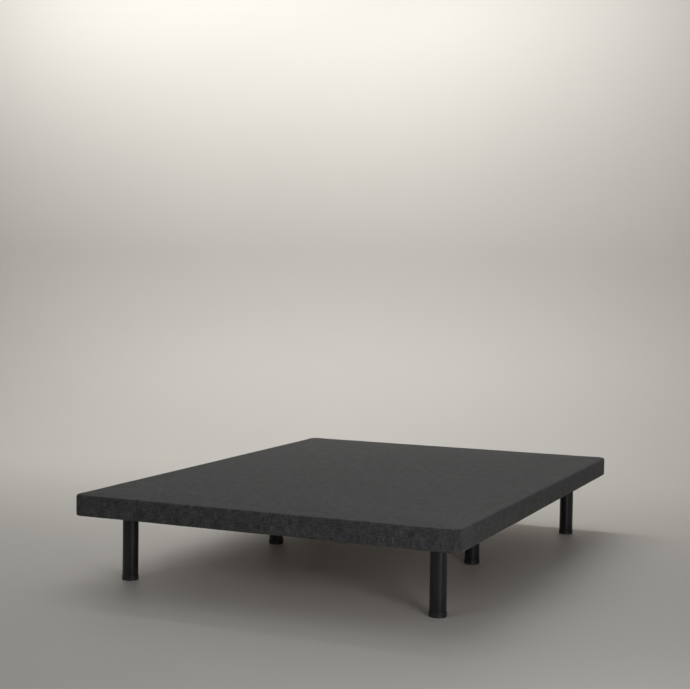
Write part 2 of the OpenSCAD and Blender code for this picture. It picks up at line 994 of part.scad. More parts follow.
module control_box_lid() {
    color(MOTOR)
        translate([box_centre[0] - box_size[0] / 2, box_centre[1] - box_size[1] / 2, box_top_z - box_size[2]])
            cube([box_size[0], box_size[1], box_lid_t]);
}

// Inlet for the power supply's plug, on the face of the box toward the foot end
module power_inlet() {
    inlet = [30, 10, 20];
    face_y = box_centre[1] - box_size[1] / 2;
    color(MOTOR)
        translate([box_centre[0] - inlet[0] / 2, face_y - inlet[1], box_top_z - 28])
            difference() {
                cube(inlet);
                translate([4, -1, 5])
                    cube([inlet[0] - 8, inlet[1] - 1, inlet[2] - 10]);
            }
}

// Round lead through a list of points, none of them one above the other, as one swept tube
module lead(points) {
    last = len(points) - 1;
    sides = 8;
    rings = [for (i = [0 : last])
        let (along = points[min(i + 1, last)] - points[max(i - 1, 0)],
             t = along / norm(along),
             across = cross(t, [0, 0, 1]) / norm(cross(t, [0, 0, 1])),
             up = cross(across, t))
        [for (k = [0 : sides - 1])
            points[i] + lead_r * (cos(360 * k / sides) * across + sin(360 * k / sides) * up)]];
    walls = [for (i = [0 : last - 1], k = [0 : sides - 1])
        [i * sides + k, i * sides + (k + 1) % sides, (i + 1) * sides + (k + 1) % sides, (i + 1) * sides + k]];
    start = [[for (k = [0 : sides - 1]) sides - 1 - k]];
    end = [[for (k = [0 : sides - 1]) last * sides + k]];
    polyhedron([for (ring = rings) each ring], concat(start, walls, end));
}

// One lead to each motor, along the underside of the crossbars and the left rail
module motor_leads() {
    box_left = box_centre[0] - box_size[0] / 2;
    box_right = box_centre[0] + box_size[0] / 2;
    side_y = 42;
    head_plug = [actuator_x - housing_w / 2 - lead_gap, head_rear_y + side_y, rear_z - 12];
    foot_plug = [-actuator_x - housing_w / 2 - lead_gap, foot_rear_y - side_y, rear_z - 12];
    head_clip = [actuator_x - housing_w / 2 - 70, head_rear_y, lead_z];
    foot_clip = [-actuator_x - housing_w / 2 - 70, foot_rear_y, lead_z];
    color(PLASTIC) {
        lead([[box_right, head_rear_y, rail_z - 16], [box_right + 14, head_rear_y, rail_z - 16],
              [box_right + 30, head_rear_y, lead_z], head_clip,
              [head_plug[0] - 30, head_plug[1] - 12, head_plug[2] + 4],
              [head_plug[0] - 14, head_plug[1], head_plug[2]], head_plug]);
        lead([[box_left, head_rear_y, rail_z - 16], [box_left - 14, head_rear_y, rail_z - 16],
              [box_left - 30, head_rear_y, lead_z], [-rail_x + 24, head_rear_y, lead_z],
              [-rail_x, head_rear_y + 24, lead_z], [-rail_x, foot_rear_y - 24, lead_z],
              [-rail_x + 24, foot_rear_y, lead_z], foot_clip,
              [foot_plug[0] - 30, foot_plug[1] + 12, foot_plug[2] + 4],
              [foot_plug[0] - 14, foot_plug[1], foot_plug[2]], foot_plug]);
    }
}

side_rail_left();
side_rail_right();
foot_crossbar();
middle_crossbar();
head_crossbar();
head_motor_crossbar();
foot_motor_crossbar();
leg_plates();
leg_studs();
leg_foot_left();
leg_foot_right();
leg_middle_left();
leg_middle_right();
leg_head_left();
leg_head_right();
foot_caps();
frame_pivots();
deck_bumpers();
control_box_base();
control_box_lid();
power_inlet();
motor_leads();
seat_board();
seat_side_boards();
seat_foam();
seat_cover();
seat_hinge_leaves();
hinge_pins();
head_board();
head_side_boards();
head_foam();
head_cover();
head_hinge_leaves();
head_lift_tube();
head_lift_arms();
head_rollers();
thigh_board();
thigh_side_boards();
thigh_foam();
thigh_cover();
thigh_hinge_leaves();
thigh_knee_plates();
calf_board();
calf_side_boards();
calf_foam();
calf_cover();
calf_knee_plates();
calf_links();
foot_lift_tube();
foot_lift_arms();
foot_rollers();
head_motor_housing();
head_motor_can();
head_actuator_tube();
head_actuator_rod();
foot_motor_housing();
foot_motor_can();
foot_actuator_tube();
foot_actuator_rod();
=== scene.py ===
"""Visual model of a low adjustable bed base: an upholstered deck on six round legs, with its lift gear."""

import json
import logging
import math
from dataclasses import dataclass, field
from enum import Enum
from typing import Any, Optional, Sequence

import bmesh
import bpy
from bpy.types import Material, Mesh, Node, NodeSocket, Object
from mathutils import Matrix, Vector


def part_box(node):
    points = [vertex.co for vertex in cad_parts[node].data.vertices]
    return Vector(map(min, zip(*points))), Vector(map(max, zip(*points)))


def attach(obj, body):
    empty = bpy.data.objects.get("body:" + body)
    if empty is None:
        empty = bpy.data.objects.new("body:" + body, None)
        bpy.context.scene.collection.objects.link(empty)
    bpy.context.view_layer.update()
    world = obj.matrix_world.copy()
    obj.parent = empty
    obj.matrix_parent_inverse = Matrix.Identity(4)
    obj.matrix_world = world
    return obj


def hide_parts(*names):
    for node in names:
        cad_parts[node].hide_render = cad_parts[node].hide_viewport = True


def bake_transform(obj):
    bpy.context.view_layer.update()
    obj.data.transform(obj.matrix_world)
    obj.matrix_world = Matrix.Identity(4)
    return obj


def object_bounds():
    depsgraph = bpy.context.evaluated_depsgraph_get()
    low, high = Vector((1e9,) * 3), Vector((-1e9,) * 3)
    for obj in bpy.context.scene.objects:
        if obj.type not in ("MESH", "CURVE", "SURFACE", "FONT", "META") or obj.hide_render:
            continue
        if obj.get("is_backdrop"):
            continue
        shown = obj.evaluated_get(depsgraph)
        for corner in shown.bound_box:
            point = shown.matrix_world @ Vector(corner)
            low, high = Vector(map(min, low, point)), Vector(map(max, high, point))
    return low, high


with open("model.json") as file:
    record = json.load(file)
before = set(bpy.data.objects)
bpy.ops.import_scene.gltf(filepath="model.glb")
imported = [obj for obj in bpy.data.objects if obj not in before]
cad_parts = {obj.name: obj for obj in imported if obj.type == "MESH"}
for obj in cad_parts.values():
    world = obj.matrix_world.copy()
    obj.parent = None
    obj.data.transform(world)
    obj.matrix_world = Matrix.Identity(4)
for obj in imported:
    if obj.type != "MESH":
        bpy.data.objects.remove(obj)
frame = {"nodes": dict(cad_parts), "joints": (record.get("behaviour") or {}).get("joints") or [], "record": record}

MM = 0.001
SIDES = (-1, 1)
Point = Sequence[float]
Colour = tuple[float, ...]
Placed = tuple[Mesh, Matrix]
log = logging.getLogger("bed_base")


class Grain(Enum):
    """The row axis that a timber's grain runs along."""

    ACROSS = 0
    LENGTHWISE = 1


# ---- Shading ----


def linear(code: str) -> Colour:
    """Turns six sRGB hex digits, such as "434345", into linear red, green, blue and alpha."""
    parts = [int(code[i : i + 2], 16) / 255 for i in (0, 2, 4)]
    return tuple(c / 12.92 if c <= 0.04045 else ((c + 0.055) / 1.055) ** 2.4 for c in parts) + (1.0,)


def lifted(code: str, gain: float, step: float = 0.0) -> Colour:
    """A colour brightened by a gain and a step."""
    return tuple(c * gain + step for c in linear(code)[:3]) + (1.0,)


class Shading:
    """A material's node tree, and the kinds of node that the finishes are made from."""

    def __init__(self, name: str) -> None:
        """Makes a material whose Principled shader is joined to the output.

        Args:
            name: the material's name.
        """
        self.material = bpy.data.materials.new(name)
        self.material.use_nodes = True
        self.tree = self.material.node_tree
        self.tree.nodes.clear()
        self.shader = self.add("BsdfPrincipled")
        self.output = self.add("OutputMaterial", {"Surface": self.shader.outputs["BSDF"]})

    def fill(self, node: Node, inputs: dict[Any, Any]) -> None:
        """Sets or joins some of a node's inputs.

        Args:
            node: the node.
            inputs: socket name or number to a constant, or to the output socket that feeds it.
        """
        for name, value in inputs.items():
            if isinstance(value, NodeSocket):
                self.tree.links.new(value, node.inputs[name])
            else:
                node.inputs[name].default_value = value

    def add(self, kind: str, inputs: Optional[dict[Any, Any]] = None, **settings: str) -> Node:
        """Adds one shader node.

        Args:
            kind: the node's type name, without its "ShaderNode".
            inputs: its inputs, as fill takes them.
            settings: attributes of the node itself.

        Returns:
            The new node.
        """
        node = self.tree.nodes.new("ShaderNode" + kind)
        for name, value in settings.items():
            setattr(node, name, value)
        self.fill(node, inputs or {})
        return node

    def surface(self, inputs: dict[str, Any]) -> None:
        """Sets or joins inputs of the Principled shader."""
        self.fill(self.shader, inputs)

    def place(self) -> NodeSocket:
        """Gives the object coordinate, in metres."""
        return self.add("TexCoord").outputs["Object"]

    def split(self, vector: NodeSocket) -> Node:
        """Splits a vector into its X, Y and Z."""
        return self.add("SeparateXYZ", {0: vector})

    def noise(self, place: NodeSocket, size_mm: Point, detail: float, rough: float = 0.5) -> NodeSocket:
        """Adds a noise whose blotches have a real size.

        Args:
            place: coordinate in metres.
            size_mm: size of a blotch along each axis, in millimetres.
            detail: octaves of finer detail.
            rough: how strong the finer detail is.

        Returns:
            The noise's value, about 0 to 1.
        """
        mapped = self.add("Mapping", {"Vector": place, "Scale": tuple(1 / (s * MM) for s in size_mm)})
        shape = {"Scale": 1.0, "Detail": detail, "Roughness": rough}
        return self.add("TexNoise", {"Vector": mapped.outputs["Vector"], **shape}).outputs["Fac"]

    def ramp(self, value: NodeSocket, low: float, high: float, to_low: float = 0.0, to_high: float = 1.0) -> NodeSocket:
        """Maps a value of low to to_low and of high to to_high, clamped."""
        ends = {"From Min": low, "From Max": high, "To Min": to_low, "To Max": to_high}
        return self.add("MapRange", {"Value": value, **ends}).outputs["Result"]

    def mix(self, factor: NodeSocket, low: Any, high: Any) -> NodeSocket:
        """Mixes two colours, each a colour or a socket: factor 0 gives low, and 1 gives high."""
        return self.add("Mix", {0: factor, 6: low, 7: high}, data_type="RGBA", blend_type="MIX").outputs[2]

    def maths(self, operation: str, a: Any, b: Any = 0.0) -> NodeSocket:
        """Adds one sum of two values, each a number or a socket."""
        return self.add("Math", {0: a, 1: b}, operation=operation).outputs[0]

    def wave(self, along: NodeSocket, half_period: float) -> NodeSocket:
        """A sine along a coordinate in metres, from -1 to 1, that crosses nought at each half period."""
        return self.maths("SINE", self.maths("MULTIPLY", along, math.pi / half_period))

    def bump(self, height: NodeSocket, depth_mm: float, strength: float) -> None:
        """Feeds a height of 0 to 1 into the normal, where 1 is so many millimetres deep."""
        made = self.add("Bump", {"Strength": strength, "Distance": depth_mm * MM, "Height": height})
        self.surface({"Normal": made.outputs["Normal"]})


# ---- Finishes ----


@dataclass(frozen=True)
class WovenCloth:
    """Charcoal polyester woven as linen: matt, heathered by lighter and darker slubs in both thread directions."""

    name: str = "charcoal_linen_weave"
    dark: str = "1b1b1c"
    mid: str = "39393a"
    light: str = "5a5a5b"
    # The real threads are about 0.6 mm apart; drawn at 3 mm so that the weave shows at this distance.
    thread_mm: float = 3.0
    slub_mm: float = 26.0
    blotch_mm: float = 34.0
    broad_mm: tuple[float, float] = (190.0, 260.0)
    roughness: float = 0.94
    sheen: float = 0.12
    # A noise this long is the same all the way through the cloth.
    endless_mm: float = 1.0e6

    def build(self) -> Material:
        """Makes the material, which reads the cloth's own UV map in metres.

        Returns:
            The material.
        """
        made = Shading(self.name)
        cloth = made.add("UVMap", uv_map=Upholstery.UV_NAME).outputs["UV"]
        warp = made.noise(cloth, (self.thread_mm, self.slub_mm, self.endless_mm), 3.0, 0.6)
        weft = made.noise(cloth, (self.slub_mm, self.thread_mm, self.endless_mm), 3.0, 0.6)
        blotch = made.noise(cloth, (self.blotch_mm, self.blotch_mm * 1.6, self.endless_mm), 3.0, 0.65)
        broad = made.noise(cloth, (*self.broad_mm, self.endless_mm), 2.0, 0.5)
        axes = made.split(cloth).outputs
        ribs = [made.wave(axes[axis], self.thread_mm * MM / 2) for axis in ("X", "Y")]
        weave = made.maths("MULTIPLY", *ribs)
        threads = made.maths("MULTIPLY", made.maths("ADD", warp, weft), 0.5)
        fleck = made.ramp(threads, 0.37, 0.63, 0.05, 0.95)
        tone = made.mix(fleck, linear(self.dark), linear(self.light))
        even = made.mix(made.ramp(broad, 0.35, 0.65, 0.66, 0.94), linear(self.mid), tone)
        ribbed = made.ramp(weave, -1.0, 1.0, 0.84, 1.14)
        shade = made.maths("MULTIPLY", ribbed, made.ramp(blotch, 0.3, 0.7, 0.76, 1.24))
        final = made.add("VectorMath", {0: even, "Scale": shade}, operation="SCALE").outputs[0]
        made.surface({"Base Color": final, "Roughness": self.roughness, "Specular IOR Level": 0.2})
        made.surface({"Sheen Weight": self.sheen, "Sheen Roughness": 0.45})
        made.bump(made.maths("ADD", made.maths("MULTIPLY", weave, 0.3), fleck), 0.7, 0.5)
        return made.material


@dataclass(frozen=True)
class MouldedPlastic:
    """Injection-moulded plastic: fine spark-eroded texture, broken highlights, faint flow clouding."""

    name: str
    colour: str
    roughness: float
    texture_mm: float = 0.9
    cloud_mm: tuple[float, float, float] = (35.0, 60.0, 35.0)
    cloud_detail: float = 3.0
    lift: tuple[float, float] = (1.35, 0.0015)
    gloss_spread: tuple[float, float] = (0.04, 0.07)
    ior: float = 1.49
    depth_mm: float = 0.06
    strength: float = 0.4

    def build(self) -> Material:
        """Makes the material.

        Returns:
            The material.
        """
        made = Shading(self.name)
        place = made.place()
        fine = made.noise(place, (self.texture_mm,) * 3, 2.0)
        cloud = made.noise(place, self.cloud_mm, self.cloud_detail)
        colour = made.mix(cloud, linear(self.colour), lifted(self.colour, *self.lift))
        down, up = self.gloss_spread
        rough = made.ramp(cloud, 0.3, 0.7, self.roughness - down, self.roughness + up)
        made.surface({"Base Color": colour, "Roughness": rough, "IOR": self.ior})
        made.bump(fine, self.depth_mm, self.strength)
        return made.material


@dataclass(frozen=True)
class PowderCoat(MouldedPlastic):
    """Powder coat baked on steel: the same kind of polymer skin, with orange peel and satin where smooth."""

    texture_mm: float = 2.2
    cloud_mm: tuple[float, float, float] = (90.0, 90.0, 90.0)
    cloud_detail: float = 4.0
    lift: tuple[float, float] = (1.25, 0.001)
    gloss_spread: tuple[float, float] = (0.05, 0.06)
    ior: float = 1.5
    depth_mm: float = 0.05
    strength: float = 0.35


@dataclass(frozen=True)
class ZincPlate:
    """Bright zinc plate on rolled steel: metal with a slight passivation tint and drawn streaks."""

    name: str = "zinc_plate"
    colour: str = "b4b7ba"
    tint: str = "a9a88f"
    roughness: float = 0.34

    def build(self) -> Material:
        """Makes the material.

        Returns:
            The material.
        """
        made = Shading(self.name)
        place = made.place()
        drawn = made.noise(place, (30.0, 1.2, 1.2), 3.0)
        part = made.ramp(made.noise(place, (22.0,) * 3, 4.0), 0.4, 0.75, 0.0, 0.6)
        rough = made.ramp(drawn, 0.3, 0.7, self.roughness - 0.08, self.roughness + 0.1)
        made.surface({"Base Color": made.mix(part, linear(self.colour), linear(self.tint))})
        made.surface({"Roughness": rough, "Metallic": 1.0})
        made.bump(drawn, 0.04, 0.3)
        return made.material


@dataclass(frozen=True)
class Plywood:
    """Sanded birch plywood: pale rotary-cut faces with wandering grain, and banded plies on the edges."""

    name: str
    grain: Grain
    pale: str = "c9a87c"
    dark: str = "9c7448"
    ply_mm: float = 1.5
    along_mm: float = 320.0
    across_mm: float = 9.0
    roughness: float = 0.62

    def build(self) -> Material:
        """Makes the material. The plies are stacked along Z.

        Returns:
            The material.
        """
        made = Shading(self.name)
        place = made.place()
        size = [self.across_mm] * 3
        size[1 if self.grain is Grain.LENGTHWISE else 0] = self.along_mm
        figure = made.noise(place, size, 5.0, 0.6)
        pores = made.noise(place, [s / 9 for s in size], 2.0)
        band = made.wave(made.split(place).outputs["Z"], self.ply_mm * MM)
        level = made.split(made.add("NewGeometry").outputs["Normal"]).outputs["Z"]
        upright = made.maths("SUBTRACT", 1.0, made.maths("ABSOLUTE", level))
        pale, dark = linear(self.pale), linear(self.dark)
        face_tone = made.mix(made.ramp(figure, 0.3, 0.7), pale, dark)
        edge_tone = made.mix(made.ramp(band, -0.2, 0.2), pale, dark)
        made.surface({"Base Color": made.mix(upright, face_tone, edge_tone), "Roughness": self.roughness, "IOR": 1.5})
        made.bump(made.maths("ADD", figure, pores), 0.15, 0.4)
        return made.material


@dataclass(frozen=True)
class Rubber:
    """Moulded black rubber: dull, slightly dusty, with soft reflections."""

    name: str = "moulded_rubber"
    colour: str = "19191a"
    dust: str = "2c2b2a"
    roughness: float = 0.8

    def build(self) -> Material:
        """Makes the material.

        Returns:
            The material.
        """
        made = Shading(self.name)
        place = made.place()
        part = made.ramp(made.noise(place, (14.0,) * 3, 5.0), 0.45, 0.7, 0.0, 0.7)
        colour = made.mix(part, linear(self.colour), linear(self.dust))
        made.surface({"Base Color": colour, "Roughness": self.roughness, "IOR": 1.52})
        made.bump(made.noise(place, (1.2,) * 3, 2.0), 0.05, 0.4)
        return made.material


@dataclass(frozen=True)
class StudioPaint:
    """Matt pale paint on the studio's floor and backdrop, clear from behind so that every side can be looked at."""

    name: str = "studio_paint"
    colour: str = "cbc8c3"
    roughness: float = 0.55

    def build(self) -> Material:
        """Makes the material.

        Returns:
            The material.
        """
        made = Shading(self.name)
        cloud = made.noise(made.place(), (900.0,) * 3, 3.0)
        colour = made.mix(cloud, linear(self.colour), lifted(self.colour, 1.04))
        made.surface({"Base Color": colour, "Roughness": self.roughness})
        behind = made.add("NewGeometry").outputs["Backfacing"]
        clear = made.add("BsdfTransparent").outputs["BSDF"]
        either = made.add("MixShader", {0: behind, 1: made.shader.outputs["BSDF"], 2: clear})
        made.fill(made.output, {"Surface": either.outputs["Shader"]})
        return made.material


# ---- Mesh helpers ----


def link_mesh(name: str, mesh: Mesh, material: Material) -> Object:
    """Puts a mesh in the scene as a smooth-shaded piece with one material.

    Args:
        name: the piece's name.
        mesh: its mesh, in the row frame.
        material: its finish.

    Returns:
        The new object.
    """
    made = bpy.data.objects.new(name, mesh)
    bpy.context.scene.collection.objects.link(made)
    mesh.materials.clear()
    mesh.materials.append(material)
    mesh.shade_smooth()
    return made


def mark_sharp(mesh: Mesh, angle: float = math.radians(38)) -> None:
    """Marks edges sharper than an angle, so that smooth shading keeps them crisp.

    Args:
        mesh: the mesh.
        angle: the least angle between two faces, in radians.
    """
    work = bmesh.new()
    work.from_mesh(mesh)
    for edge in work.edges:
        if len(edge.link_faces) == 2 and edge.calc_face_angle(0.0) > angle:
            edge.smooth = False
    work.to_mesh(mesh)
    work.free()


def arc(centre: tuple[float, float], radius: float, start: float, end: float, steps: int) -> list[tuple[float, float]]:
    """Points on an arc in so many steps, first and last included, with its angles in degrees."""
    turns = [math.radians(start + (end - start) * i / steps) for i in range(steps + 1)]
    return [(centre[0] + radius * math.cos(a), centre[1] + radius * math.sin(a)) for a in turns]


def round_steps(count: int) -> list[float]:
    """Angles of so many equal steps round a circle, in radians."""
    return [2 * math.pi * k / count for k in range(count)]


def quads(size: int, joins: Sequence[tuple[int, int]]) -> list[list[int]]:
    """Faces between pairs of rings, of so many points each, which are stored one ring after the other."""
    steps = [(k, (k + 1) % size) for k in range(size)]
    return [[i * size + k, i * size + n, j * size + n, j * size + k] for i, j in joins for k, n in steps]


def mesh_from(vertices: Sequence[Point], faces: Sequence[Sequence[int]]) -> Mesh:
    """Makes a mesh with its normals outward.

    Args:
        vertices: points in millimetres.
        faces: indices of each face's points.

    Returns:
        The mesh.
    """
    mesh = bpy.data.meshes.new("part")
    mesh.from_pydata([tuple(v) for v in vertices], [], faces)
    work = bmesh.new()
    work.from_mesh(mesh)
    bmesh.ops.remove_doubles(work, verts=work.verts, dist=0.001)
    bmesh.ops.recalc_face_normals(work, faces=work.faces)
    work.to_mesh(mesh)
    work.free()
    return mesh


def turned(profile: Sequence[tuple[float, float]], segments: int, ring: bool = False) -> Mesh:
    """Turns a profile round Z.

    Args:
        profile: radius and height of each point, from the axis to the axis.
        segments: steps round the axis.
        ring: whether the profile is a closed loop clear of the axis.

    Returns:
        A closed mesh.
    """
    count = len(profile)
    vertices = [(r * math.cos(a), r * math.sin(a), z) for r, z in profile for a in round_steps(segments)]
    joins = [(i, (i + 1) % count) for i in range(count if ring else count - 1)]
    return mesh_from(vertices, quads(segments, joins))


def lofted(rings: Sequence[Sequence[Point]]) -> Mesh:
    """Skins a row of rings that have as many points each, and closes both ends.

    Args:
        rings: the rings, in order.

    Returns:
        A closed mesh.
    """
    size, last = len(rings[0]), len(rings) - 1
    ends = [list(range(size)), list(range(last * size, (last + 1) * size))]
    vertices = [point for points in rings for point in points]
    return mesh_from(vertices, ends + quads(size, [(i, i + 1) for i in range(last)]))


def plan_ring(half_x: float, half_y: float, r: float, z: float, steps: int = 5) -> list[Point]:
    """Points of a rounded rectangle at one height.

    Args:
        half_x: half its width.
        half_y: half its depth.
        r: radius of its corners.
        z: its height.
        steps: steps round each corner.

    Returns:
        The points, in order.
    """
    points: list[Point] = []
    for number, (sx, sy) in enumerate(((1, 1), (-1, 1), (-1, -1), (1, -1))):
        centre = (sx * (half_x - r), sy * (half_y - r))
        points += [(x, y, z) for x, y in arc(centre, r, 90 * number, 90 * number + 90, steps)]
    return points


def block(half_x: float, half_y: float, height: float, r: float, edge: float) -> Mesh:
    """A standing block with round corners and eased rims, its foot at the origin.

    Args:
        half_x: half its width.
        half_y: half its depth.
        height: its height.
        r: radius of its upright corners.
        edge: radius of its rims.

    Returns:
        A closed mesh.
    """
    stations = [(edge, 0.0), (edge * 0.3, edge * 0.3), (0.0, edge)]
    stations += [(inset, height - z) for inset, z in reversed(stations)]
    return lofted([plan_ring(half_x - inset, half_y - inset, r - inset * 0.9, z) for inset, z in stations])


def swept(points: Sequence[Point], radius: float, sides: int, ripple: float = 0.0) -> Mesh:
    """Sweeps a round section along a line of points.

    Args:
        points: the line.
        radius: radius of the section.
        sides: steps round the section.
        ripple: how far every other section is drawn in, as on a weld bead.

    Returns:
        A closed mesh.
    """
    line = [Vector(p) for p in points]
    rings = []
    across = Vector((1.0, 0.0, 0.0))
    for i, point in enumerate(line):
        along = (line[min(i + 1, len(line) - 1)] - line[max(i - 1, 0)]).normalized()
        if abs(along.dot(across)) > 0.95:
            across = Vector((0.0, 1.0, 0.0))
        across = (across - along * across.dot(along)).normalized()
        up = along.cross(across)
        r = radius - (ripple if i % 2 else 0.0)
        rings.append([point + r * (math.cos(a) * across + math.sin(a) * up) for a in round_steps(sides)])
    return lofted(rings)


def smoothed(points: Sequence[Point], steps: int) -> list[Vector]:
    """Rounds a line of points into one smooth curve through them.

    Args:
        points: the line.
        steps: steps between two points.

    Returns:
        The curve's points.
    """
    line = [Vector(p) for p in points]
    pull = 0.9
    made = []
    for i in range(len(line) - 1):
        a, b, c, d = line[max(i - 1, 0)], line[i], line[i + 1], line[min(i + 2, len(line) - 1)]
        reach = min((b - a).length, (c - b).length, (d - c).length) or (c - b).length
        start = (c - a).normalized() * reach * pull
        end = (d - b).normalized() * reach * pull
        for k in range(steps):
            t = k / steps
            ends = (2 * t**3 - 3 * t**2 + 1) * b + (3 * t**2 - 2 * t**3) * c
            made.append(ends + (t**3 - 2 * t**2 + t) * start + (t**3 - t**2) * end)
    return made + [line[-1]]


def at(x: float, y: float, z: float) -> Matrix:
    """A shift."""
    return Matrix.Translation((x, y, z))


def facing(direction: Point) -> Matrix:
    """A turn that brings +Z to a direction."""
    return Vector(direction).to_track_quat("Z", "Y").to_matrix().to_4x4()


def standing(direction: Point) -> Matrix:
    """A turn that brings +Z to a level direction and a block's +Y upright.

    Args:
        direction: the level direction.

    Returns:
        The turn.
    """
    turn = facing(direction)
    if abs((turn.to_3x3() @ Vector((0, 1, 0))).z) > 0.7:
        return turn
    return turn @ Matrix.Rotation(math.pi / 2, 4, "Z")


RIGHT, LEFT = facing((1, 0, 0)), facing((-1, 0, 0))
FORWARD, BACKWARD = facing((0, 1, 0)), facing((0, -1, 0))
DOWN = facing((0, 0, -1))


def pan_head(r: float) -> Mesh:
    """A pan-head screw with a round drive recess, its seat at the origin.

    Args:
        r: the head's radius.

    Returns:
        The mesh.
    """
    high = r * 0.62
    profile = [(0.0, high * 0.4), (r * 0.3, high * 0.45), (r * 0.36, high * 0.95), (r * 0.48, high)]
    profile += [(r * 0.8, high * 0.84), (r * 0.95, high * 0.55), (r, high * 0.2), (r, 0.0), (0.0, 0.0)]
    return turned(profile, 24)


def hex_head(r: float) -> list[Placed]:
    """A flanged hexagon head, its seat at the origin.

    Args:
        r: radius over the hexagon's corners.

    Returns:
        The flange and the hexagon.
    """
    flange = turned([(0.0, 0.0), (r * 1.25, 0.0), (r * 1.25, r * 0.12), (r * 0.9, r * 0.3), (0.0, r * 0.3)], 32)
    stations = [(1.0, 0.0), (1.0, r * 0.78), (0.86, r * 0.92)]
    hexagon = lofted([[(r * f * math.cos(a), r * f * math.sin(a), z) for a in round_steps(6)] for f, z in stations])
    return [(flange, Matrix()), (hexagon, Matrix())]


# ---- The frame's sizes, in millimetres ----


def corners(node: str) -> list[Vector]:
    """Lowest and highest corner of a CAD node."""
    return [Vector(v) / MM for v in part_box(node)]


def middle_of(node: str) -> Vector:
    """Middle of a CAD node's box."""
    low, high = corners(node)
    return (low + high) / 2


def joint(name: str) -> dict[str, Any]:
    """One joint of the frame."""
    return next(j for j in frame["joints"] if j["name"] == name)


def pivot(name: str) -> Vector:
    """A joint's place."""
    return Vector(joint(name)["pos_m"]) / MM


@dataclass
class Hardware:
    """Parts drawn in millimetres, which go on a body as finished pieces."""

    finishes: dict[str, Material]

    def put(self, name: str, parts: Sequence[Placed], slot: str, body: str = "frame", *nodes: str) -> None:
        """Puts placed meshes together as one finished piece.

        Args:
            name: the piece's name.
            parts: each mesh and where it goes.
            slot: the record's material slot, which is also its finish.
            body: the body that carries it.
            nodes: the CAD nodes that it takes the place of.
        """
        work = bmesh.new()
        for mesh, place in parts:
            placed = mesh.copy()
            placed.transform(Matrix.Scale(MM, 4) @ place)
            work.from_mesh(placed)
            bpy.data.meshes.remove(placed)
        whole = bpy.data.meshes.new(name)
        work.to_mesh(whole)
        work.free()
        mark_sharp(whole)
        piece = link_mesh(name, whole, self.finishes[slot])
        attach(piece, body)
        if nodes:
            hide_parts(*nodes)


# ---- The upholstered deck ----


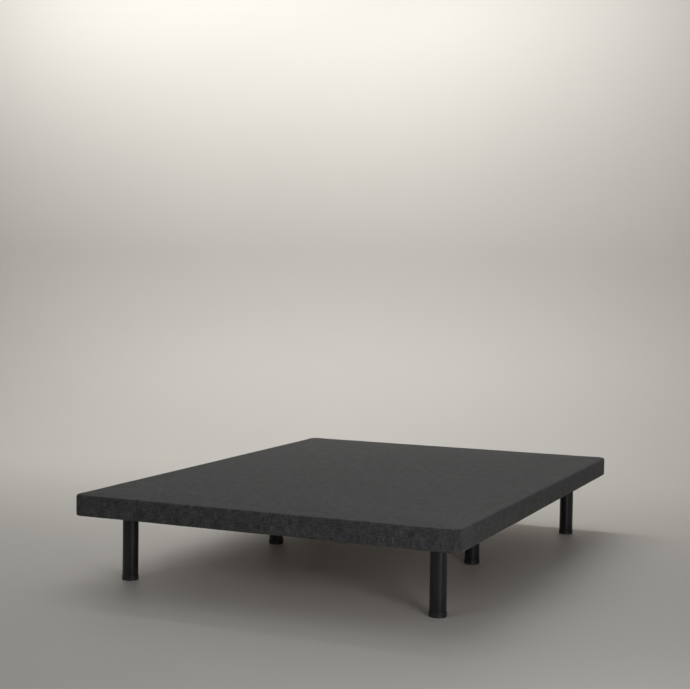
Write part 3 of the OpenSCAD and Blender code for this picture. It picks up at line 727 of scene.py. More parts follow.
@dataclass
class Upholstery:
    """Cloth over foam, wrapped round the boards and under their edges, in three lengths."""

    cloth: Material
    low: Vector
    high: Vector
    corner_r: float = 32 * MM
    edge_r: float = 8 * MM
    wall: float = 8 * MM
    ceiling_drop: float = 14.6 * MM
    spacing: float = 19 * MM
    swell_cap: float = 2.6 * MM
    slack: float = 1.0 * MM
    hem_in: float = 24 * MM
    top_reach: float = 34 * MM
    knee_reach: float = 55 * MM
    settle_frames: int = 18
    half: tuple[float, float] = (0.0, 0.0)

    UV_NAME = "cloth"
    # Rows of the skirt from here down rest on the boards, so they are held.
    FIRST_HELD_ROW = 5

    def stops(self, half: float) -> list[float]:
        """Grid lines from one edge to the other, closer together over the rounded edge.

        Args:
            half: half the deck's extent that way.

        Returns:
            Places, in order.
        """
        inner = half - self.corner_r
        count = max(2, round(2 * inner / self.spacing))
        lines = [-inner + 2 * inner * i / count for i in range(count + 1)]
        insets = [24 * MM, 16 * MM]
        insets += [self.edge_r * (1 - math.sin(math.radians(a))) for a in (0, 22, 44, 62, 78, 90)]
        edge = [half - inset for inset in insets]
        return [-e for e in reversed(edge)] + lines + edge

    def rounded(self, x: float, y: float, shrink: float) -> tuple[float, float, float]:
        """Moves a grid point of the square-cornered plan onto the round-cornered one.

        Args:
            x: place across the bed.
            y: place along the bed.
            shrink: how far the plan is drawn in.

        Returns:
            The new x and y, and the distance to the plan's edge.
        """
        half_x, half_y = self.half
        r = self.corner_r
        a = (abs(x) - (half_x - r)) / r
        b = (abs(y) - (half_y - r)) / r
        sx = math.copysign(1, x)
        sy = math.copysign(1, y)
        if a > 0 and b > 0:
            ra = a * math.sqrt(1 - b * b / 2)
            rb = b * math.sqrt(1 - a * a / 2)
            scale = (r - shrink) / r
            inset = r * (1 - math.hypot(ra, rb))
            return sx * (half_x - r + ra * r * scale), sy * (half_y - r + rb * r * scale), inset
        new_x = sx * self.drawn_in(abs(x), half_x, shrink)
        new_y = sy * self.drawn_in(abs(y), half_y, shrink)
        return new_x, new_y, min(half_x - abs(x), half_y - abs(y))

    def drawn_in(self, place: float, half: float, shrink: float) -> float:
        """Draws a place beyond the straight part of an edge in by part of shrink.

        Args:
            place: distance from the middle of the bed.
            half: half the deck's extent that way.
            shrink: how far the edge itself is drawn in.

        Returns:
            The new distance.
        """
        start = half - self.corner_r
        if place <= start:
            return place
        return start + (place - start) * (self.corner_r - shrink) / self.corner_r

    def skirt_rows(self, rim_top: float) -> list[tuple[float, float]]:
        """Inset and height of each row of points down the skirt, round the hem, and up the boards.

        Args:
            rim_top: height at which the rolled edge ends.

        Returns:
            The rows, from the top down and back up.
        """
        bottom = self.low.z
        rows = [(0.0, rim_top - (rim_top - bottom - 4 * MM) * k / 4) for k in range(1, 5)]
        rows += [(1.2 * MM, bottom + 1.2 * MM), (4 * MM, bottom + 0.3 * MM), (14 * MM, bottom + 0.4 * MM)]
        rows += [(self.hem_in, bottom + 0.6 * MM), (self.hem_in + 0.8 * MM, bottom + 1.5 * MM)]
        rows += [(self.hem_in, bottom + 2.5 * MM), (self.wall, bottom + 2.6 * MM)]
        return rows + [(self.wall, bottom + (self.high.z - self.ceiling_drop - bottom) * k / 3) for k in (1, 2)]

    def shell(self) -> tuple[Mesh, set[int]]:
        """Builds the closed shell: top, rolled edges, skirt, hem, and the inner faces against the boards.

        Returns:
            The mesh, and the indices of the points that rest on the boards.
        """
        size = self.high - self.low
        self.half = (size.x / 2 - self.slack, size.y / 2 - self.slack)
        top = self.high.z - self.slack
        xs = self.stops(self.half[0])
        ys = self.stops(self.half[1])
        nx, ny = len(xs), len(ys)
        vertices: list[Point] = []
        for y in ys:
            for x in xs:
                px, py, inset = self.rounded(x, y, 0.0)
                gone = max(0.0, self.edge_r - inset)
                drop = self.edge_r - math.sqrt(max(0.0, self.edge_r**2 - gone**2))
                vertices.append((px, py, top - drop))
        inner_start = len(vertices)
        ceiling = self.high.z - self.ceiling_drop
        vertices += [(*self.rounded(x, y, self.wall)[:2], ceiling) for y in ys for x in xs]
        faces: list[list[int]] = []
        for j in range(ny - 1):
            for i in range(nx - 1):
                a, b, c, d = j * nx + i, j * nx + i + 1, (j + 1) * nx + i + 1, (j + 1) * nx + i
                faces.append([a, b, c, d])
                faces.append([inner_start + k for k in (d, c, b, a)])
        rim = [(i, 0) for i in range(nx)] + [(nx - 1, j) for j in range(1, ny)]
        rim += [(i, ny - 1) for i in range(nx - 2, -1, -1)] + [(0, j) for j in range(ny - 2, 0, -1)]
        around = [j * nx + i for i, j in rim]
        bands = [around]
        pinned = set(range(inner_start, inner_start + nx * ny))
        for number, (inset, z) in enumerate(self.skirt_rows(top - self.edge_r)):
            bands.append(list(range(len(vertices), len(vertices) + len(rim))))
            vertices += [(*self.rounded(xs[i], ys[j], inset)[:2], z) for i, j in rim]
            if number >= self.FIRST_HELD_ROW:
                pinned.update(bands[-1])
        bands.append([inner_start + k for k in around])
        for above, below in zip(bands, bands[1:]):
            for k in range(len(rim)):
                n = (k + 1) % len(rim)
                faces.append([above[k], below[k], below[n], above[n]])
        mesh = bpy.data.meshes.new("deck_shell")
        mesh.from_pydata(vertices, [], faces)
        mesh.update()
        return mesh, pinned

    def swell(self, piece: Object, pinned: set[int]) -> None:
        """Lets the cloth settle over the foam as a pressurised cloth simulation, and keeps a capped part of it.

        Args:
            piece: the shell.
            pinned: points that stay on the boards.
        """
        rest = [v.co.copy() for v in piece.data.vertices]
        piece.vertex_groups.new(name="held").add(sorted(pinned), 1.0, "REPLACE")
        modifier = piece.modifiers.new("settle", "CLOTH")
        cloth = modifier.settings
        cloth.quality = 4
        cloth.mass = 0.4
        cloth.tension_stiffness = cloth.compression_stiffness = 30
        cloth.shear_stiffness = 10
        cloth.bending_stiffness = 3
        cloth.use_pressure = True
        cloth.uniform_pressure_force = 3.0
        cloth.vertex_group_mass = "held"
        cloth.effector_weights.gravity = 0.0
        scene = bpy.context.scene
        for frame_number in range(1, self.settle_frames + 1):
            scene.frame_set(frame_number)
        shown = piece.evaluated_get(bpy.context.evaluated_depsgraph_get())
        moved = [v.co.copy() for v in shown.data.vertices]
        scene.frame_set(1)
        piece.modifiers.remove(modifier)
        for vertex, before, after in zip(piece.data.vertices, rest, moved):
            step = after - before
            if step.length > self.swell_cap:
                step *= self.swell_cap / step.length
            vertex.co = before + step
        piece.vertex_groups.clear()

    def unevenness(self, piece: Object) -> None:
        """Gives the stapled hem and the rolled edge the small waves of pulled cloth.

        Args:
            piece: the shell.
        """
        waves = [(0.61, 0.0, 0.5), (0.283, 1.3, 0.32), (0.137, 4.1, 0.22)]
        middle = (self.high.z + self.low.z) / 2
        for vertex in piece.data.vertices:
            co = vertex.co
            inset = min(self.half[0] - abs(co.x), self.half[1] - abs(co.y))
            if inset >= 6 * MM and co.z <= middle:
                continue
            run = co.x + 0.7 * co.y
            wave = sum(depth * math.sin(2 * math.pi * run / length + phase) for length, phase, depth in waves)
            near_edge = max(0.0, 1 - inset / (60 * MM))
            low_part = max(0.0, (middle - co.z) / (middle - self.low.z))
            vertex.co.z += wave * MM * (0.9 * near_edge * (0.35 + 0.5 * low_part))

    def lay_uv(self, mesh: Mesh) -> None:
        """Lays the cloth's own coordinates in metres, carried over the edges and down the skirt.

        Args:
            mesh: a finished length of upholstery.
        """
        layer = mesh.uv_layers.new(name=self.UV_NAME)
        places = []
        for vertex in mesh.vertices:
            co = vertex.co
            # How far the point lies past the straight part of each edge, inside the deck's plan.
            a, b = (
                max(0.0, min(half, abs(along)) - (half - self.corner_r)) for along, half in zip(co.xy, self.half)
            )
            share = a * a / (a * a + b * b) if a * a + b * b > 0 else 0.5
            drop = max(0.0, self.high.z - co.z)
            u = co.x + (math.copysign(drop * share, co.x) if a > 0 else 0.0)
            v = co.y + (math.copysign(drop * (1 - share), co.y) if b > 0 else 0.0)
            places.append((u, v))
        for loop in mesh.loops:
            layer.data[loop.index].uv = places[loop.vertex_index]

    def length_between(self, source: Mesh, name: str, y_from: float, y_to: float) -> Object:
        """Cuts one closed length out of the shell.

        Args:
            source: the whole shell.
            name: the new piece's name.
            y_from: where it starts.
            y_to: where it ends.

        Returns:
            The piece.
        """
        work = bmesh.new()
        work.from_mesh(source)
        for y, normal in ((y_from, (0, -1, 0)), (y_to, (0, 1, 0))):
            if not self.low.y < y < self.high.y:
                continue
            geometry = work.verts[:] + work.edges[:] + work.faces[:]
            cut = bmesh.ops.bisect_plane(
                work, geom=geometry, plane_co=(0, y, 0), plane_no=normal, clear_outer=True, dist=1e-6
            )
            edges = [g for g in cut["geom_cut"] if isinstance(g, bmesh.types.BMEdge)]
            made = bmesh.ops.contextual_create(work, geom=edges)
            for edge in edges:
                edge.smooth = False
            bmesh.ops.triangulate(work, faces=made["faces"])
        bmesh.ops.recalc_face_normals(work, faces=work.faces)
        mesh = bpy.data.meshes.new(name)
        work.to_mesh(mesh)
        work.free()
        self.lay_uv(mesh)
        return link_mesh(name, mesh, self.cloth)

    def whole_shell(self) -> Mesh:
        """Builds the shell of all three lengths, settled and smooth.

        Returns:
            Its mesh.
        """
        mesh, pinned = self.shell()
        whole = link_mesh("deck_shell", mesh, self.cloth)
        self.swell(whole, pinned)
        self.unevenness(whole)
        smooth = whole.modifiers.new("smooth", "SUBSURF")
        smooth.levels = 1
        smooth.subdivision_type = "CATMULL_CLARK"
        shown = whole.evaluated_get(bpy.context.evaluated_depsgraph_get())
        final = bpy.data.meshes.new_from_object(shown)
        bpy.data.objects.remove(whole)
        return final

    def build(self) -> None:
        """Builds the three lengths, in place of the CAD covers and foam."""
        final = self.whole_shell()
        hinges = [joint(name)["pos_m"][1] for name in ("head_tilt", "thigh_tilt", "calf_fold")]
        head_y, thigh_y, knee_y = hinges
        mid_seat = (head_y + thigh_y) / 2
        mid_thigh = (thigh_y + knee_y) / 2
        past_end = 9.0
        lengths = [
            ("head_upholstery", mid_seat, past_end, ("frame", "head_section"), self.top_reach,
             ("head_cover", "head_foam")),
            ("seat_upholstery", mid_thigh, mid_seat, ("thigh_section", "frame"), self.top_reach,
             ("seat_cover", "seat_foam", "thigh_cover", "thigh_foam")),
            ("foot_upholstery", -past_end, mid_thigh, ("calf_section", "thigh_section"), self.knee_reach,
             ("calf_cover", "calf_foam")),
        ]
        for (name, y_from, y_to, pair, reach, nodes), y_hinge in zip(lengths, hinges):
            piece = self.length_between(final, name, y_from, y_to)
            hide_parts(*nodes)
            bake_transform(piece)
            log.info("%s: %d faces, bends at y %.3f", name, len(piece.data.polygons), y_hinge)


# ---- Camera, light and floor ----


@dataclass(frozen=True)
class SoftBox:
    """A rectangular soft box: its place, the point it faces, its width and height, its power, and its sRGB tint."""

    name: str
    place: tuple[float, float, float]
    aim: tuple[float, float, float]
    size: tuple[float, float]
    watts: float
    tint: str

    def build(self) -> None:
        """Adds the light."""
        data = bpy.data.lights.new(self.name, "AREA")
        data.shape = "RECTANGLE"
        data.size, data.size_y = self.size
        data.energy = self.watts
        data.color = linear(self.tint)[:3]
        made = bpy.data.objects.new(self.name, data)
        bpy.context.scene.collection.objects.link(made)
        made.location = self.place
        made.rotation_mode = "QUATERNION"
        made.rotation_quaternion = (Vector(self.aim) - Vector(self.place)).to_track_quat("-Z", "Y")


@dataclass
class Studio:
    """The camera at the product's viewing angle, soft light, and a pale floor that curves up behind."""

    paint: Material
    place: Vector = field(default_factory=lambda: Vector((1.9636, -4.7477, 1.0454)))
    yaw: float = -0.4122
    pitch: float = 0.0489
    roll: float = 0.0163
    lens_mm: float = 71.25
    sensor_mm: float = 36.0
    boxes: tuple[SoftBox, ...] = (
        SoftBox("ceiling_softbox", (-0.9, 0.9, 3.4), (0.0, 0.2, 0.3), (3.2, 3.2), 20.0, "fffdfa"),
        SoftBox("right_fill", (2.3, -2.4, 0.75), (0.66, -1.0, 0.25), (0.9, 0.6), 18.0, "fffefc"),
        SoftBox("front_fill", (-1.6, -4.6, 2.2), (0.0, -0.9, 0.2), (2.4, 1.6), 19.0, "fcfdff"),
        SoftBox("backdrop_wash", (-1.8, 1.7, 3.3), (-1.9, 3.4, 1.3), (5.0, 0.6), 84.0, "fffefb"),
    )
    air: str = "dfe0e2"
    air_strength: float = 0.25
    floor_reach: float = 14.0
    wall_y: float = 3.4
    wall_top: float = 8.0
    bend: float = 1.2

    def camera(self) -> None:
        """Makes the camera."""
        level = Vector((math.sin(self.yaw), math.cos(self.yaw), 0.0)) * math.cos(self.pitch)
        forward = level - Vector((0.0, 0.0, math.sin(self.pitch)))
        right = Vector((math.cos(self.yaw), -math.sin(self.yaw), 0.0))
        up = right.cross(forward)
        right_turned = math.cos(self.roll) * right + math.sin(self.roll) * up
        up_turned = -math.sin(self.roll) * right + math.cos(self.roll) * up
        data = bpy.data.cameras.new("camera")
        data.lens = self.lens_mm
        data.sensor_width = self.sensor_mm
        made = bpy.data.objects.new("camera", data)
        bpy.context.scene.collection.objects.link(made)
        turn = Matrix((right_turned, up_turned, -forward)).transposed().to_4x4()
        made.matrix_world = Matrix.Translation(self.place) @ turn
        bpy.context.scene.camera = made

    def floor(self) -> None:
        """Makes the floor, curved up into a backdrop behind the head end."""
        outline = [(-self.floor_reach, 0.0), (self.wall_y - self.bend, 0.0)]
        outline += arc((self.wall_y - self.bend, self.bend), self.bend, -90, 0, 24)[1:]
        outline += [(self.wall_y, self.wall_top)]
        turn = Matrix.Rotation(-self.yaw * 0.3, 3, "Z")
        vertices = [turn @ Vector((side * self.floor_reach, y, z)) for y, z in outline for side in SIDES]
        faces = [[2 * i, 2 * i + 1, 2 * i + 3, 2 * i + 2] for i in range(len(outline) - 1)]
        mesh = bpy.data.meshes.new("floor")
        mesh.from_pydata(vertices, [], faces)
        link_mesh("floor", mesh, self.paint)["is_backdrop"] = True

    def build(self) -> None:
        """Makes the camera, the lights, the air's own light, and the floor."""
        self.camera()
        for box in self.boxes:
            box.build()
        world = bpy.data.worlds.new("air")
        world.use_nodes = True
        background = world.node_tree.nodes["Background"]
        background.inputs["Color"].default_value = linear(self.air)
        background.inputs["Strength"].default_value = self.air_strength
        bpy.context.scene.world = world
        bpy.context.scene.view_settings.view_transform = "Standard"
        self.floor()


# ---- Legs, and hardware under the deck ----


def all_finishes() -> dict[str, Material]:
    """Makes every finish.

    Returns:
        The materials, by the record's material slot.
    """
    kinds = {
        "cloth": WovenCloth(),
        "plywood": Plywood("birch_plywood", Grain.ACROSS),
        "frame_steel": PowderCoat("black_powder_coat", "1b1b1d", 0.5),
        "leg_steel": PowderCoat("satin_black_powder_coat", "101012", 0.32),
        "cap_plastic": MouldedPlastic("moulded_black_polyethylene", "19191a", 0.42),
        "zinc_steel": ZincPlate(),
        "roller_nylon": MouldedPlastic("turned_black_nylon", "1b1b1b", 0.4),
        "bumper_rubber": Rubber(),
        "motor_plastic": MouldedPlastic("textured_grey_abs", "333437", 0.52),
        "box_plastic": MouldedPlastic("textured_black_abs", "1a1a1b", 0.5),
        "lead_rubber": MouldedPlastic("black_pvc_jacket", "151516", 0.45),
    }
    return {slot: kind.build() for slot, kind in kinds.items()}


@dataclass
class CarriedParts:
    """The CAD parts that stay in view: each gets its finish, and its edges are eased."""

    finishes: dict[str, Material]
    bevel: dict[str, float] = field(
        default_factory=lambda: {"plywood": 0.8 * MM, "frame_steel": 0.9 * MM, "bumper_rubber": 0.8 * MM}
    )
    least_bevel: float = 0.4 * MM

    def build(self) -> None:
        """Assigns a material to each CAD node by its slot in the record."""
        slots = {s["node"]: s["material_slot"] for s in frame["record"]["subparts"]}
        for node, piece in frame["nodes"].items():
            slot = slots[node]
            if slot in self.finishes:
                piece.data.materials.clear()
                piece.data.materials.append(self.finishes[slot])
                self.ease(piece, self.bevel.get(slot, self.least_bevel))

    def ease(self, piece: Object, width: float) -> None:
        """Rounds a part's sharp edges.

        Args:
            piece: the part.
            width: width of the rounding.
        """
        piece.modifiers.new("weld", "WELD").merge_threshold = 1e-6
        edges = piece.modifiers.new("eased_edges", "BEVEL")
        edges.width = width
        edges.segments = 2
        edges.limit_method = "ANGLE"
        edges.angle_limit = math.radians(40)
        edges.use_clamp_overlap = True
        piece.modifiers.new("even_normals", "WEIGHTED_NORMAL")


@dataclass
class Leg(Hardware):
    """A round steel tube leg with rounded rims, standing in a moulded cap."""

    node: str
    rim: float = 1.2
    cap_r: float = 28.5
    cap_h: float = 16.0
    cap_foot: float = 2.6
    cap_lip: float = 0.7
    segments: int = 96

    def build(self) -> None:
        """Builds the tube and its cap."""
        low, high = corners(self.node)
        r, rim = (high.x - low.x) / 2, self.rim
        profile = [(0.0, low.z), (r - rim, low.z)]
        profile += arc((r - rim, low.z + rim), rim, -90, 0, 4)[1:]
        profile += [(r, low.z + (high.z - low.z) * k / 6) for k in range(1, 6)]
        profile += arc((r - rim, high.z - rim), rim, 0, 90, 4)
        profile += [(0.0, high.z)]
        place = at(*middle_of(self.node).xy, 0)
        tube = turned(profile, self.segments)
        self.put(self.node + "_tube", [(tube, place)], "leg_steel", "frame", self.node)
        cap = turned(self.cap_profile(r), self.segments)
        self.put(self.node.replace("leg_", "cap_"), [(cap, place)], "cap_plastic", "frame", "foot_caps")

    def cap_profile(self, leg_r: float) -> list[tuple[float, float]]:
        """Draws the cap: a cup with a soft lip, a sole with a groove, and a parting line.

        Args:
            leg_r: the leg's radius.

        Returns:
            Its profile.
        """
        r, h, foot, lip = self.cap_r, self.cap_h, self.cap_foot, self.cap_lip
        profile = [(0.0, 0.8), (r - 9.0, 0.8), (r - 8.2, 0.0), (r - foot, 0.0)]
        profile += arc((r - foot, foot), foot, -90, 0, 6)[1:]
        profile += [(r, h * 0.4), (r - 0.1, h * 0.42), (r - 0.1, h * 0.46), (r, h * 0.48), (r, h - lip * 1.4)]
        profile += arc((r - lip, h - lip), lip, 0, 90, 4)
        return profile + [(leg_r - 0.2, h), (leg_r - 0.2, 3.0), (0.0, 3.0)]


@dataclass
class Actuator(Hardware):
    """A linear actuator, drawn with its rear pin at the origin and its rod along +Y: gearbox, motor can and tube."""

    end: str
    pin_r: float = 6.05
    bore_r: float = 10.05
    eye_r: float = 14.0
    eye_half: float = 12.0

    @property
    def place(self) -> Matrix:
        """Where the actuator lies.

        Returns:
            Its own frame, in the row frame.
        """
        along = Vector(joint(self.end + "_rod_slide")["axis"]).normalized()
        across = Vector((1.0 if along.y > 0 else -1.0, 0.0, 0.0))
        made = Matrix((across, along, across.cross(along))).transposed().to_4x4()
        made.translation = pivot(self.end + "_motor_swing")
        return made

    def build(self) -> None:
        """Builds the pieces on the actuator's body."""
        self.gearbox()
        self.can()
        self.tube()

    def own_box(self, node: str) -> list[Vector]:
        """Lowest and highest corner of a CAD node in the actuator's own frame.

        Args:
            node: the node.

        Returns:
            The two corners.
        """
        inverse = self.place.inverted()
        points = [inverse @ (vertex.co / MM) for vertex in frame["nodes"][node].data.vertices]
        return [Vector(map(min, zip(*points))), Vector(map(max, zip(*points)))]

    def fit(self, name: str, parts: Sequence[Placed], slot: str, *nodes: str) -> None:
        """Puts a piece drawn in the actuator's own frame on its body.

        Args:
            name: the piece's name, without the end's.
            parts: each mesh and where it goes.
            slot: the record's material slot.
            nodes: the CAD nodes that it takes the place of.
        """
        place = self.place
        placed = [(mesh, place @ spot) for mesh, spot in parts]
        self.put(f"{self.end}_{name}", placed, slot, self.end + "_actuator", *nodes)

    def gearbox(self) -> None:
        """Builds the gear housing: moulded shell with a parting groove, ribs and screws, and the eye on its neck."""
        node = self.end + "_motor_housing"
        low, high = self.own_box(node)
        half_x = high.x
        half_z = (high.z - low.z) / 2
        mid_z = (high.z + low.z) / 2
        corner_r, back = 10.0, 24.0
        stations = [(back, 4.0), (25.0, 1.8), (28.0, 0.5), (33.0, 0.0), (70.0, 0.0), (70.5, 1.0), (72.0, 1.0)]
        stations += [(72.5, 0.0), (113.0, 0.0), (118.4, 0.8), (120.0, 2.4)]
        rings = []
        for y, inset in stations:
            flat = plan_ring(half_x - inset, half_z - inset, corner_r - inset * 0.8, 0.0)
            rings.append([(x, y, mid_z + z) for x, z, _ in flat])
        parts = [(lofted(rings), Matrix())]
        rib = block(1.3, half_z - 13, 2.4, 1.2, 0.5)
        ribs_y = (82, 90, 98, 106)
        parts += [(rib, at(side * (half_x - 1), y, mid_z) @ standing((side, 0, 0))) for side in SIDES for y in ribs_y]
        screw = pan_head(4.2)
        screws_z = (low.z + 12, high.z - 12)
        parts += [(screw, at(side * (half_x - 11), back + 0.2, z) @ BACKWARD) for side in SIDES for z in screws_z]
        r, half = self.eye_r, self.eye_half
        eye = [(self.pin_r, -half), (r - 1, -half), (r, 1 - half), (r, half - 1), (r - 1, half), (self.pin_r, half)]
        parts.append((turned(eye, 48, ring=True), RIGHT))
        parts.append((block(10.5, 9.0, 16.0, 3.0, 0.6), at(0, 10.5, 0) @ FORWARD))
        gusset = block(1.6, 20.0, 9.0, 1.4, 0.5)
        parts += [(gusset, at(side * 8, 16.5, -6) @ standing((0, 1, 0))) for side in SIDES]
        self.fit("motor_housing_moulding", parts, "motor_plastic", node)

    def can(self) -> None:
        """Builds the motor can: drawn shell, flux band, rolled crimp, stepped end and bearing cap."""
        node = self.end + "_motor_can"
        low, high = self.own_box(node)
        r = (high.x - low.x) / 2
        length = high.y - low.y
        profile = [(0.0, -2.0), (r - 0.8, -2.0), (r - 0.8, 3.0), (r, 3.8), (r, 30.0), (r + 0.9, 30.4), (r + 0.9, 84.0)]
        profile += [(r, 84.4), (r, length - 14), (r - 0.9, length - 13.2), (r - 0.9, length - 11), (r, length - 10.2)]
        profile += arc((r - 3.0, length - 8.0), 3.0, 0, 90, 5)
        profile += [(r - 4.6, length - 5.0), (r - 5.0, length - 1.6), (10.0, length - 1.2), (9.4, length + 1.6)]
        profile += [(8.6, length + 2.2), (0.0, length + 2.2)]
        middle = (low + high) / 2
        axis = at(middle.x, low.y, middle.z) @ FORWARD
        vent = block(1.6, 3.2, 0.9, 1.5, 0.3)
        spot = at(15.5, 0, length - 1.6)
        parts = [(turned(profile, 64), axis)]
        parts += [(vent, axis @ Matrix.Rotation(a, 4, "Z") @ spot) for a in round_steps(8)]
        self.fit("motor_can_drawn", parts, "zinc_steel", node)

    def tube(self) -> None:
        """Builds the outer tube with its base collar and front cap, and the rod's wiper."""
        node = self.end + "_actuator_tube"
        low, high = self.own_box(node)
        r, bore = (high.x - low.x) / 2, self.bore_r
        length = high.y - low.y
        profile = [(0.0, 0.0), (r, 0.0), (r, 9.0), (r - 1, 10.0), (r - 1, length - 27), (r, length - 26)]
        profile += [(r, length - 17), (r - 0.5, length - 16.6), (r - 0.5, length - 15.2), (r, length - 14.8)]
        profile += [(r, length - 2.4), (r - 0.8, length - 0.8), (r - 2.4, length), (bore + 3, length)]
        profile += [(bore, length - 0.5), (bore, 20.0), (0.0, 20.0)]
        axis = at(0, low.y, 0) @ FORWARD
        self.fit("actuator_tube_drawn", [(turned(profile, 64), axis)], "frame_steel", node)
        lip = [(bore, -1.0), (bore + 2.8, -1.0), (bore + 2.8, 0.8), (bore + 1.2, 1.8), (bore + 0.5, 3.0), (bore, 3.0)]
        self.fit("rod_wiper", [(turned(lip, 48, ring=True), axis @ at(0, 0, length))], "bumper_rubber")


@dataclass
class RollerPair(Hardware):
    """Two turned nylon rollers on the arms' axles, with eased rims, worn grooves and sunk faces."""

    end: str
    bore_r: float = 6.05
    width: float = 30.0

    def build(self) -> None:
        """Builds both rollers as one piece."""
        node = self.end + "_rollers"
        low, high = corners(node)
        r = (high.z - low.z) / 2
        half = self.width / 2
        upper = [(self.bore_r, half), (9.0, half), (9.6, half - 1.4), (r - 3.2, half - 1.4), (r - 2.6, half)]
        upper += [(r - 1.2, half), (r - 0.3, half - 0.5), (r, half - 1.4)]
        upper += [(r, half * 0.42), (r - 0.5, half * 0.38), (r - 0.5, half * 0.3), (r, half * 0.26)]
        roller = turned(upper + [(a, -b) for a, b in reversed(upper)], 64, ring=True)
        middle = (low + high) / 2
        parts = [(roller, at(side * (high.x - half), middle.y, middle.z) @ RIGHT) for side in SIDES]
        self.put(node + "_turned", parts, "roller_nylon", self.end + "_roller_pair", node)


@dataclass
class ControlBox(Hardware):
    """The moulded control box under its crossbar: drafted shell with louvres and fixing ears, and a screwed lid."""

    corner_r: float = 9.0

    def build(self) -> None:
        """Builds the shell and the lid."""
        self.shell()
        self.lid()

    def shell(self) -> None:
        """Builds the shell, its louvres and its ears."""
        low, high = corners("control_box_base")
        middle = (low + high) / 2
        half = (high - low) / 2
        height = high.z - low.z
        stations = [(0.0, 0.0), (0.2, height * 0.5), (0.9, height - 4), (1.4, height - 2), (2.6, height - 0.7)]
        stations += [(4.4, height)]
        rings = [plan_ring(half.x - inset, half.y - inset, self.corner_r, low.z + z) for inset, z in stations]
        parts = [(lofted(rings), at(middle.x, middle.y, 0))]
        louvre = block(1.0, 8.5, 2.2, 0.9, 0.5)
        turn = standing((0, 1, 0))
        parts += [(louvre, at(middle.x - 52 + 8 * k, high.y - 1.1, middle.z) @ turn) for k in range(14)]
        ear = block(11.0, 11.0, 3.0, 5.0, 0.7)
        screw = pan_head(4.4)
        for side in SIDES:
            x = middle.x + side * (half.x + 6)
            parts.append((ear, at(x, middle.y, high.z - 3.1)))
            parts.append((screw, at(x + side * 3, middle.y, high.z - 3) @ DOWN))
        self.put("control_box_shell", parts, "box_plastic", "frame", "control_box_base")

    def lid(self) -> None:
        """Builds the lid with its stepped rim, raised panel and four screws."""
        low, high = corners("control_box_lid")
        middle = (low + high) / 2
        half = (high - low) / 2
        stations = [(8.6, 0.0), (8.4, 1.0), (7.4, 0.3), (6.6, 0.3), (5.4, 1.0), (1.2, 1.0), (0.3, 1.5)]
        stations += [(0.0, 2.2), (0.0, 4.0)]
        rings = [
            plan_ring(half.x - inset, half.y - inset, self.corner_r - inset * 0.8, low.z + z) for inset, z in stations
        ]
        parts = [(lofted(rings), at(middle.x, middle.y, 0))]
        screw = pan_head(3.6)
        for x in SIDES:
            for y in SIDES:
                spot = at(middle.x + x * (half.x - 16), middle.y + y * (half.y - 16), low.z + 0.2)
                parts.append((screw, spot @ DOWN))
        self.put("control_box_cover", parts, "motor_plastic", "frame", "control_box_lid")


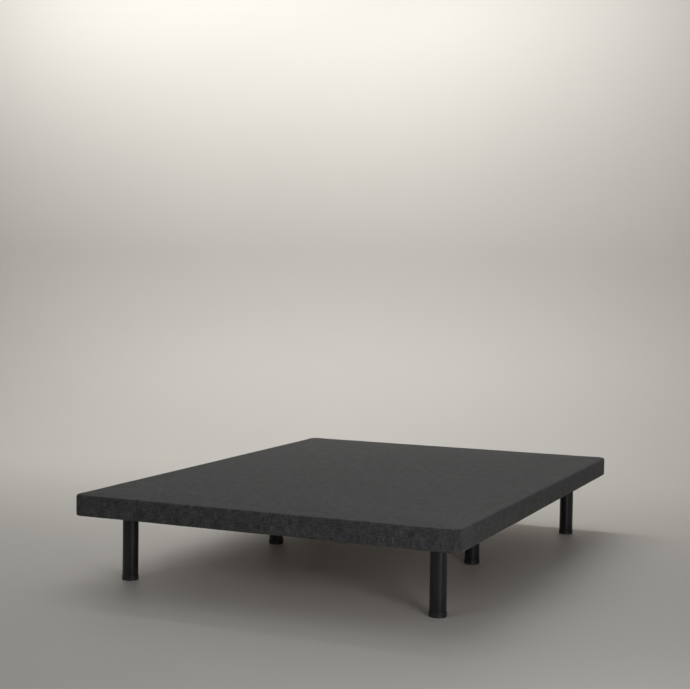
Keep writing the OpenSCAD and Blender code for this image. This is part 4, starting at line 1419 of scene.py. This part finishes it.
@dataclass
class MotorLeads(Hardware):
    """The two jacketed leads, smooth from gland to gland, with ribbed boots and the clips that hold them up."""

    radius: float = 3.0
    turn_in: float = 26.0

    def build(self) -> None:
        """Builds both leads, their boots and their clips."""
        low, high = corners("control_box_base")
        y = middle_of("control_box_base").y
        rail_z = corners("side_rail_left")[0].z
        rail_x = middle_of("side_rail_left").x
        under = rail_z - self.radius - 0.1
        gland = rail_z - 16
        head = self.plug("head", 1)
        foot = self.plug("foot", -1)
        foot_y = corners("foot_motor_crossbar")[0].y + 15
        bend = self.turn_in
        first = [(high.x - 2, y, gland), (high.x + 14, y, gland), (high.x + 30, y, under)]
        first += [(head.x - 36, y, under), head + Vector((-bend, -10, 3)), head]
        second = [(low.x + 2, y, gland), (low.x - 14, y, gland), (low.x - 30, y, under)]
        second += [(rail_x + bend, y, under), (rail_x, y + bend, under)]
        runs = [y + (foot_y - y) * k / 4 for k in (1, 2, 3)]
        second += [(rail_x, run, under) for run in runs] + [(rail_x, foot_y - bend, under)]
        second += [(rail_x + bend, foot_y, under), (foot.x - 90, foot_y, under)]
        second += [(foot.x - 40, foot_y, under), foot + Vector((-bend, 10, 3)), foot]
        parts = [(swept(smoothed(points, 10), self.radius, 14), Matrix()) for points in (first, second)]
        boot = self.boot()
        parts += [(boot, at(high.x, y, gland) @ RIGHT), (boot, at(low.x, y, gland) @ LEFT)]
        parts += [(boot, at(plug.x + 0.6, plug.y, plug.z) @ LEFT) for plug in (head, foot)]
        self.put("lead_jackets", parts, "lead_rubber", "frame", "motor_leads")
        spots = [(at(rail_x, run, under), True) for run in (runs[0] - 60, runs[1], runs[2] + 60)]
        spots += [(at(x, y, under), False) for x in (low.x - 90, head.x - 50)]
        spots += [(at(x, foot_y, under), False) for x in (foot.x - 90, foot.x - 250)]
        self.clips(spots)

    def plug(self, end: str, toward: int) -> Vector:
        """Where a lead enters its gearbox, on the face toward the left rail and on that side of the pin."""
        pin = pivot(end + "_motor_swing")
        return Vector((corners(end + "_motor_housing")[0].x - 0.8, pin.y + toward * 42, pin.z - 12))

    def boot(self) -> Mesh:
        """A ribbed strain-relief boot round the lead, its seat at the origin.

        Returns:
            The mesh.
        """
        r = self.radius
        profile = [(r * 0.98, -0.4), (r + 3.4, -0.4), (r + 3.4, 1.4)]
        for k in range(4):
            z, wide = 2 + k * 2.6, r + 2.4 - 0.4 * k
            profile += [(wide - 0.9, z), (wide, z + 0.4), (wide, z + 1.6), (wide - 0.9, z + 2)]
        return turned(profile + [(r * 0.98, 13.0)], 28, ring=True)

    def clips(self, spots: Sequence[tuple[Matrix, bool]]) -> None:
        """Builds the saddle clips.

        Args:
            spots: each clip's place, and whether the lead runs lengthwise there.
        """
        r = self.radius
        ring = [(r + 0.05, -4.0), (r + 1.2, -4.0), (r + 1.4, -3.6), (r + 1.4, 3.6), (r + 1.2, 4.0), (r + 0.05, 4.0)]
        saddle = turned(ring, 28, ring=True)
        foot = block(5.0, 4.0, 1.6, 1.2, 0.4)
        screw = pan_head(2.6)
        parts = []
        for spot, lengthwise in spots:
            here = spot if lengthwise else spot @ Matrix.Rotation(math.pi / 2, 4, "Z")
            parts += [(saddle, here @ FORWARD), (foot, here @ at(8, 0, r - 1.5))]
            parts.append((screw, here @ at(9, 0, r - 1.5) @ DOWN))
        self.put("lead_clips", parts, "box_plastic")


@dataclass
class FrameFittings(Hardware):
    """Small fittings of the steel frame: plate bolts, rail end plugs, bracket screws, and the crossbars' welds."""

    bolt_x: float = 37.0
    bolt_y: float = 19.0
    bead_ripple: float = 0.35

    def build(self) -> None:
        """Builds the fittings."""
        self.bolts()
        self.plugs()
        self.welds()
        self.bracket_screws()

    def bolts(self) -> None:
        """Puts four flanged bolts up through each leg plate."""
        head = hex_head(5.0)
        parts = []
        plate_z = corners("leg_plates")[0].z
        for node in leg_nodes():
            leg = middle_of(node)
            for sx in SIDES:
                for sy in SIDES:
                    spot = at(leg.x + sx * self.bolt_x, leg.y + sy * self.bolt_y, plate_z) @ DOWN
                    parts += [(mesh, spot @ place) for mesh, place in head]
        self.put("leg_plate_bolts", parts, "zinc_steel")

    def plugs(self) -> None:
        """Closes the rails' ends with domed plugs."""
        plug = block(17.0, 17.0, 3.2, 3.0, 1.4)
        parts = []
        for node in ("side_rail_left", "side_rail_right"):
            low, high = corners(node)
            x, _, z = middle_of(node)
            parts += [(plug, at(x, low.y, z) @ BACKWARD), (plug, at(x, high.y, z) @ FORWARD)]
        self.put("rail_end_plugs", parts, "cap_plastic")

    def welds(self) -> None:
        """Lays a rippled bead down both sides of each crossbar's ends, and one under them."""
        rail = corners("side_rail_right")[0]
        parts = []
        for bar in ("foot", "middle", "head", "head_motor", "foot_motor"):
            low, high = corners(bar + "_crossbar")
            for side in SIDES:
                x = side * rail.x
                for y in (low.y, high.y):
                    upright = [(x, y, high.z - 1 - k * 1.4) for k in range(24)]
                    parts.append((swept(upright, 2.1, 8, self.bead_ripple), Matrix()))
                level = [(x, low.y + (high.y - low.y) * k / 22, rail.z) for k in range(23)]
                parts.append((swept(level, 2.0, 8, self.bead_ripple), Matrix()))
        self.put("crossbar_welds", parts, "frame_steel")

    def bracket_screws(self) -> None:
        """Screws the calf links' brackets to the board above them."""
        board_z = corners("calf_board")[0].z
        link_low, link_high = corners("calf_links")
        pivot_y = link_low.y + 12
        bracket_x = link_high.x + 6.4
        screw = pan_head(4.0)
        parts = []
        for side in SIDES:
            for x in (bracket_x - 6, bracket_x + 18):
                parts += [(screw, at(side * x, pivot_y + y, board_z - 4) @ DOWN) for y in (-22, 22)]
        self.put("calf_bracket_screws", parts, "zinc_steel", "calf_section")


@dataclass
class LiftWelds(Hardware):
    """Rippled beads round the lift tubes where the arms and cranks are welded on."""

    end: str
    arm_x: float = 300.0
    arm_t: float = 8.0
    crank_outer: float = 20.0
    bead_steps: int = 71

    def build(self) -> None:
        """Builds the beads of one lift."""
        centre = pivot(self.end + "_lift_turn")
        crank_x = pivot(self.end + "_motor_swing").x
        low, high = corners(self.end + "_lift_tube")
        r = (high.z - low.z) / 2 + 0.6
        places = [side * edge for side in SIDES for edge in (self.arm_x, self.arm_x + self.arm_t)]
        places += [crank_x + side * self.crank_outer for side in SIDES]
        around = arc((centre.y, centre.z), r, 0, 360, self.bead_steps)
        parts = [(swept([(x, y, z) for y, z in around], 1.7, 8, 0.3), Matrix()) for x in places]
        self.put(self.end + "_lift_welds", parts, "frame_steel", self.end + "_lift")


@dataclass
class Staples(Hardware):
    """Wire staples that hold the turned-in hem to the boards' undersides."""

    every: float = 52.0
    inset: float = 15.0
    clear_of_end: float = 60.0
    clear_of_side: float = 70.0
    clear_of_hinge: float = 70.0

    def build(self) -> None:
        """Staples each section's hem."""
        low, high = (Vector(v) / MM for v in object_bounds())
        hem_z = corners("seat_cover")[0].z
        knee, thigh, head = (pivot(name).y for name in ("calf_fold", "thigh_tilt", "head_tilt"))
        sections = [("calf_section", low.y, knee), ("thigh_section", knee, thigh), ("frame", thigh, head)]
        sections += [("head_section", head, high.y)]
        for body, y_from, y_to in sections:
            spots = []
            start = y_from + (self.clear_of_end if y_from == low.y else self.clear_of_hinge)
            stop = y_to - (self.clear_of_end if y_to == high.y else self.clear_of_hinge)
            count = max(2, round((stop - start) / self.every))
            for k in range(count + 1):
                y = start + (stop - start) * k / count
                spots += [(side * (high.x - self.inset), y, False) for side in SIDES]
            for y_end, sign in ((low.y, 1), (high.y, -1)):
                if y_end in (y_from, y_to):
                    wide = high.x - self.clear_of_side
                    number = round(2 * wide / self.every)
                    y = y_end + sign * self.inset
                    spots += [(-wide + 2 * wide * k / number, y, True) for k in range(number + 1)]
            self.staple(body, spots, hem_z)

    def staple(self, body: str, spots: Sequence[tuple[float, float, bool]], hem_z: float) -> None:
        """Drives one section's staples.

        Args:
            body: the section.
            spots: each staple's place, and whether it lies across the bed.
            hem_z: height of the hem's underside.
        """
        wire = [(0, -5.0, 1.6), (0, -5.0, 0.3), (0, -4.5, 0), (0, 4.5, 0), (0, 5.0, 0.3), (0, 5.0, 1.6)]
        crown = swept(wire, 0.5, 6)
        parts = []
        for number, (x, y, across) in enumerate(spots):
            lean = 0.12 * math.sin(number * 2.4) + (math.pi / 2 if across else 0.0)
            parts.append((crown, at(x, y, hem_z + 0.3) @ Matrix.Rotation(lean, 4, "Z")))
        self.put(body + "_staples", parts, "zinc_steel", body)


def leg_nodes() -> list[str]:
    """The CAD nodes of the six legs."""
    return sorted(n for n in frame["nodes"] if n.startswith("leg_") and n not in ("leg_plates", "leg_studs"))


def main() -> None:
    """Builds the whole scene in order."""
    logging.basicConfig(level=logging.INFO, format="%(name)s %(message)s")
    cad_box = [list(v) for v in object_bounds()]
    finishes = all_finishes()
    Studio(StudioPaint().build()).build()
    low, high = (Vector(v) for v in cad_box)
    low.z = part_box("seat_cover")[0].z
    Staples(finishes).build()
    Upholstery(finishes["cloth"], low, high).build()
    for node in leg_nodes():
        Leg(finishes, node).build()
    for end in ("head", "foot"):
        Actuator(finishes, end).build()
        RollerPair(finishes, end).build()
        LiftWelds(finishes, end).build()
    ControlBox(finishes).build()
    MotorLeads(finishes).build()
    FrameFittings(finishes).build()
    CarriedParts(finishes).build()


if __name__ == "__main__":
    main()
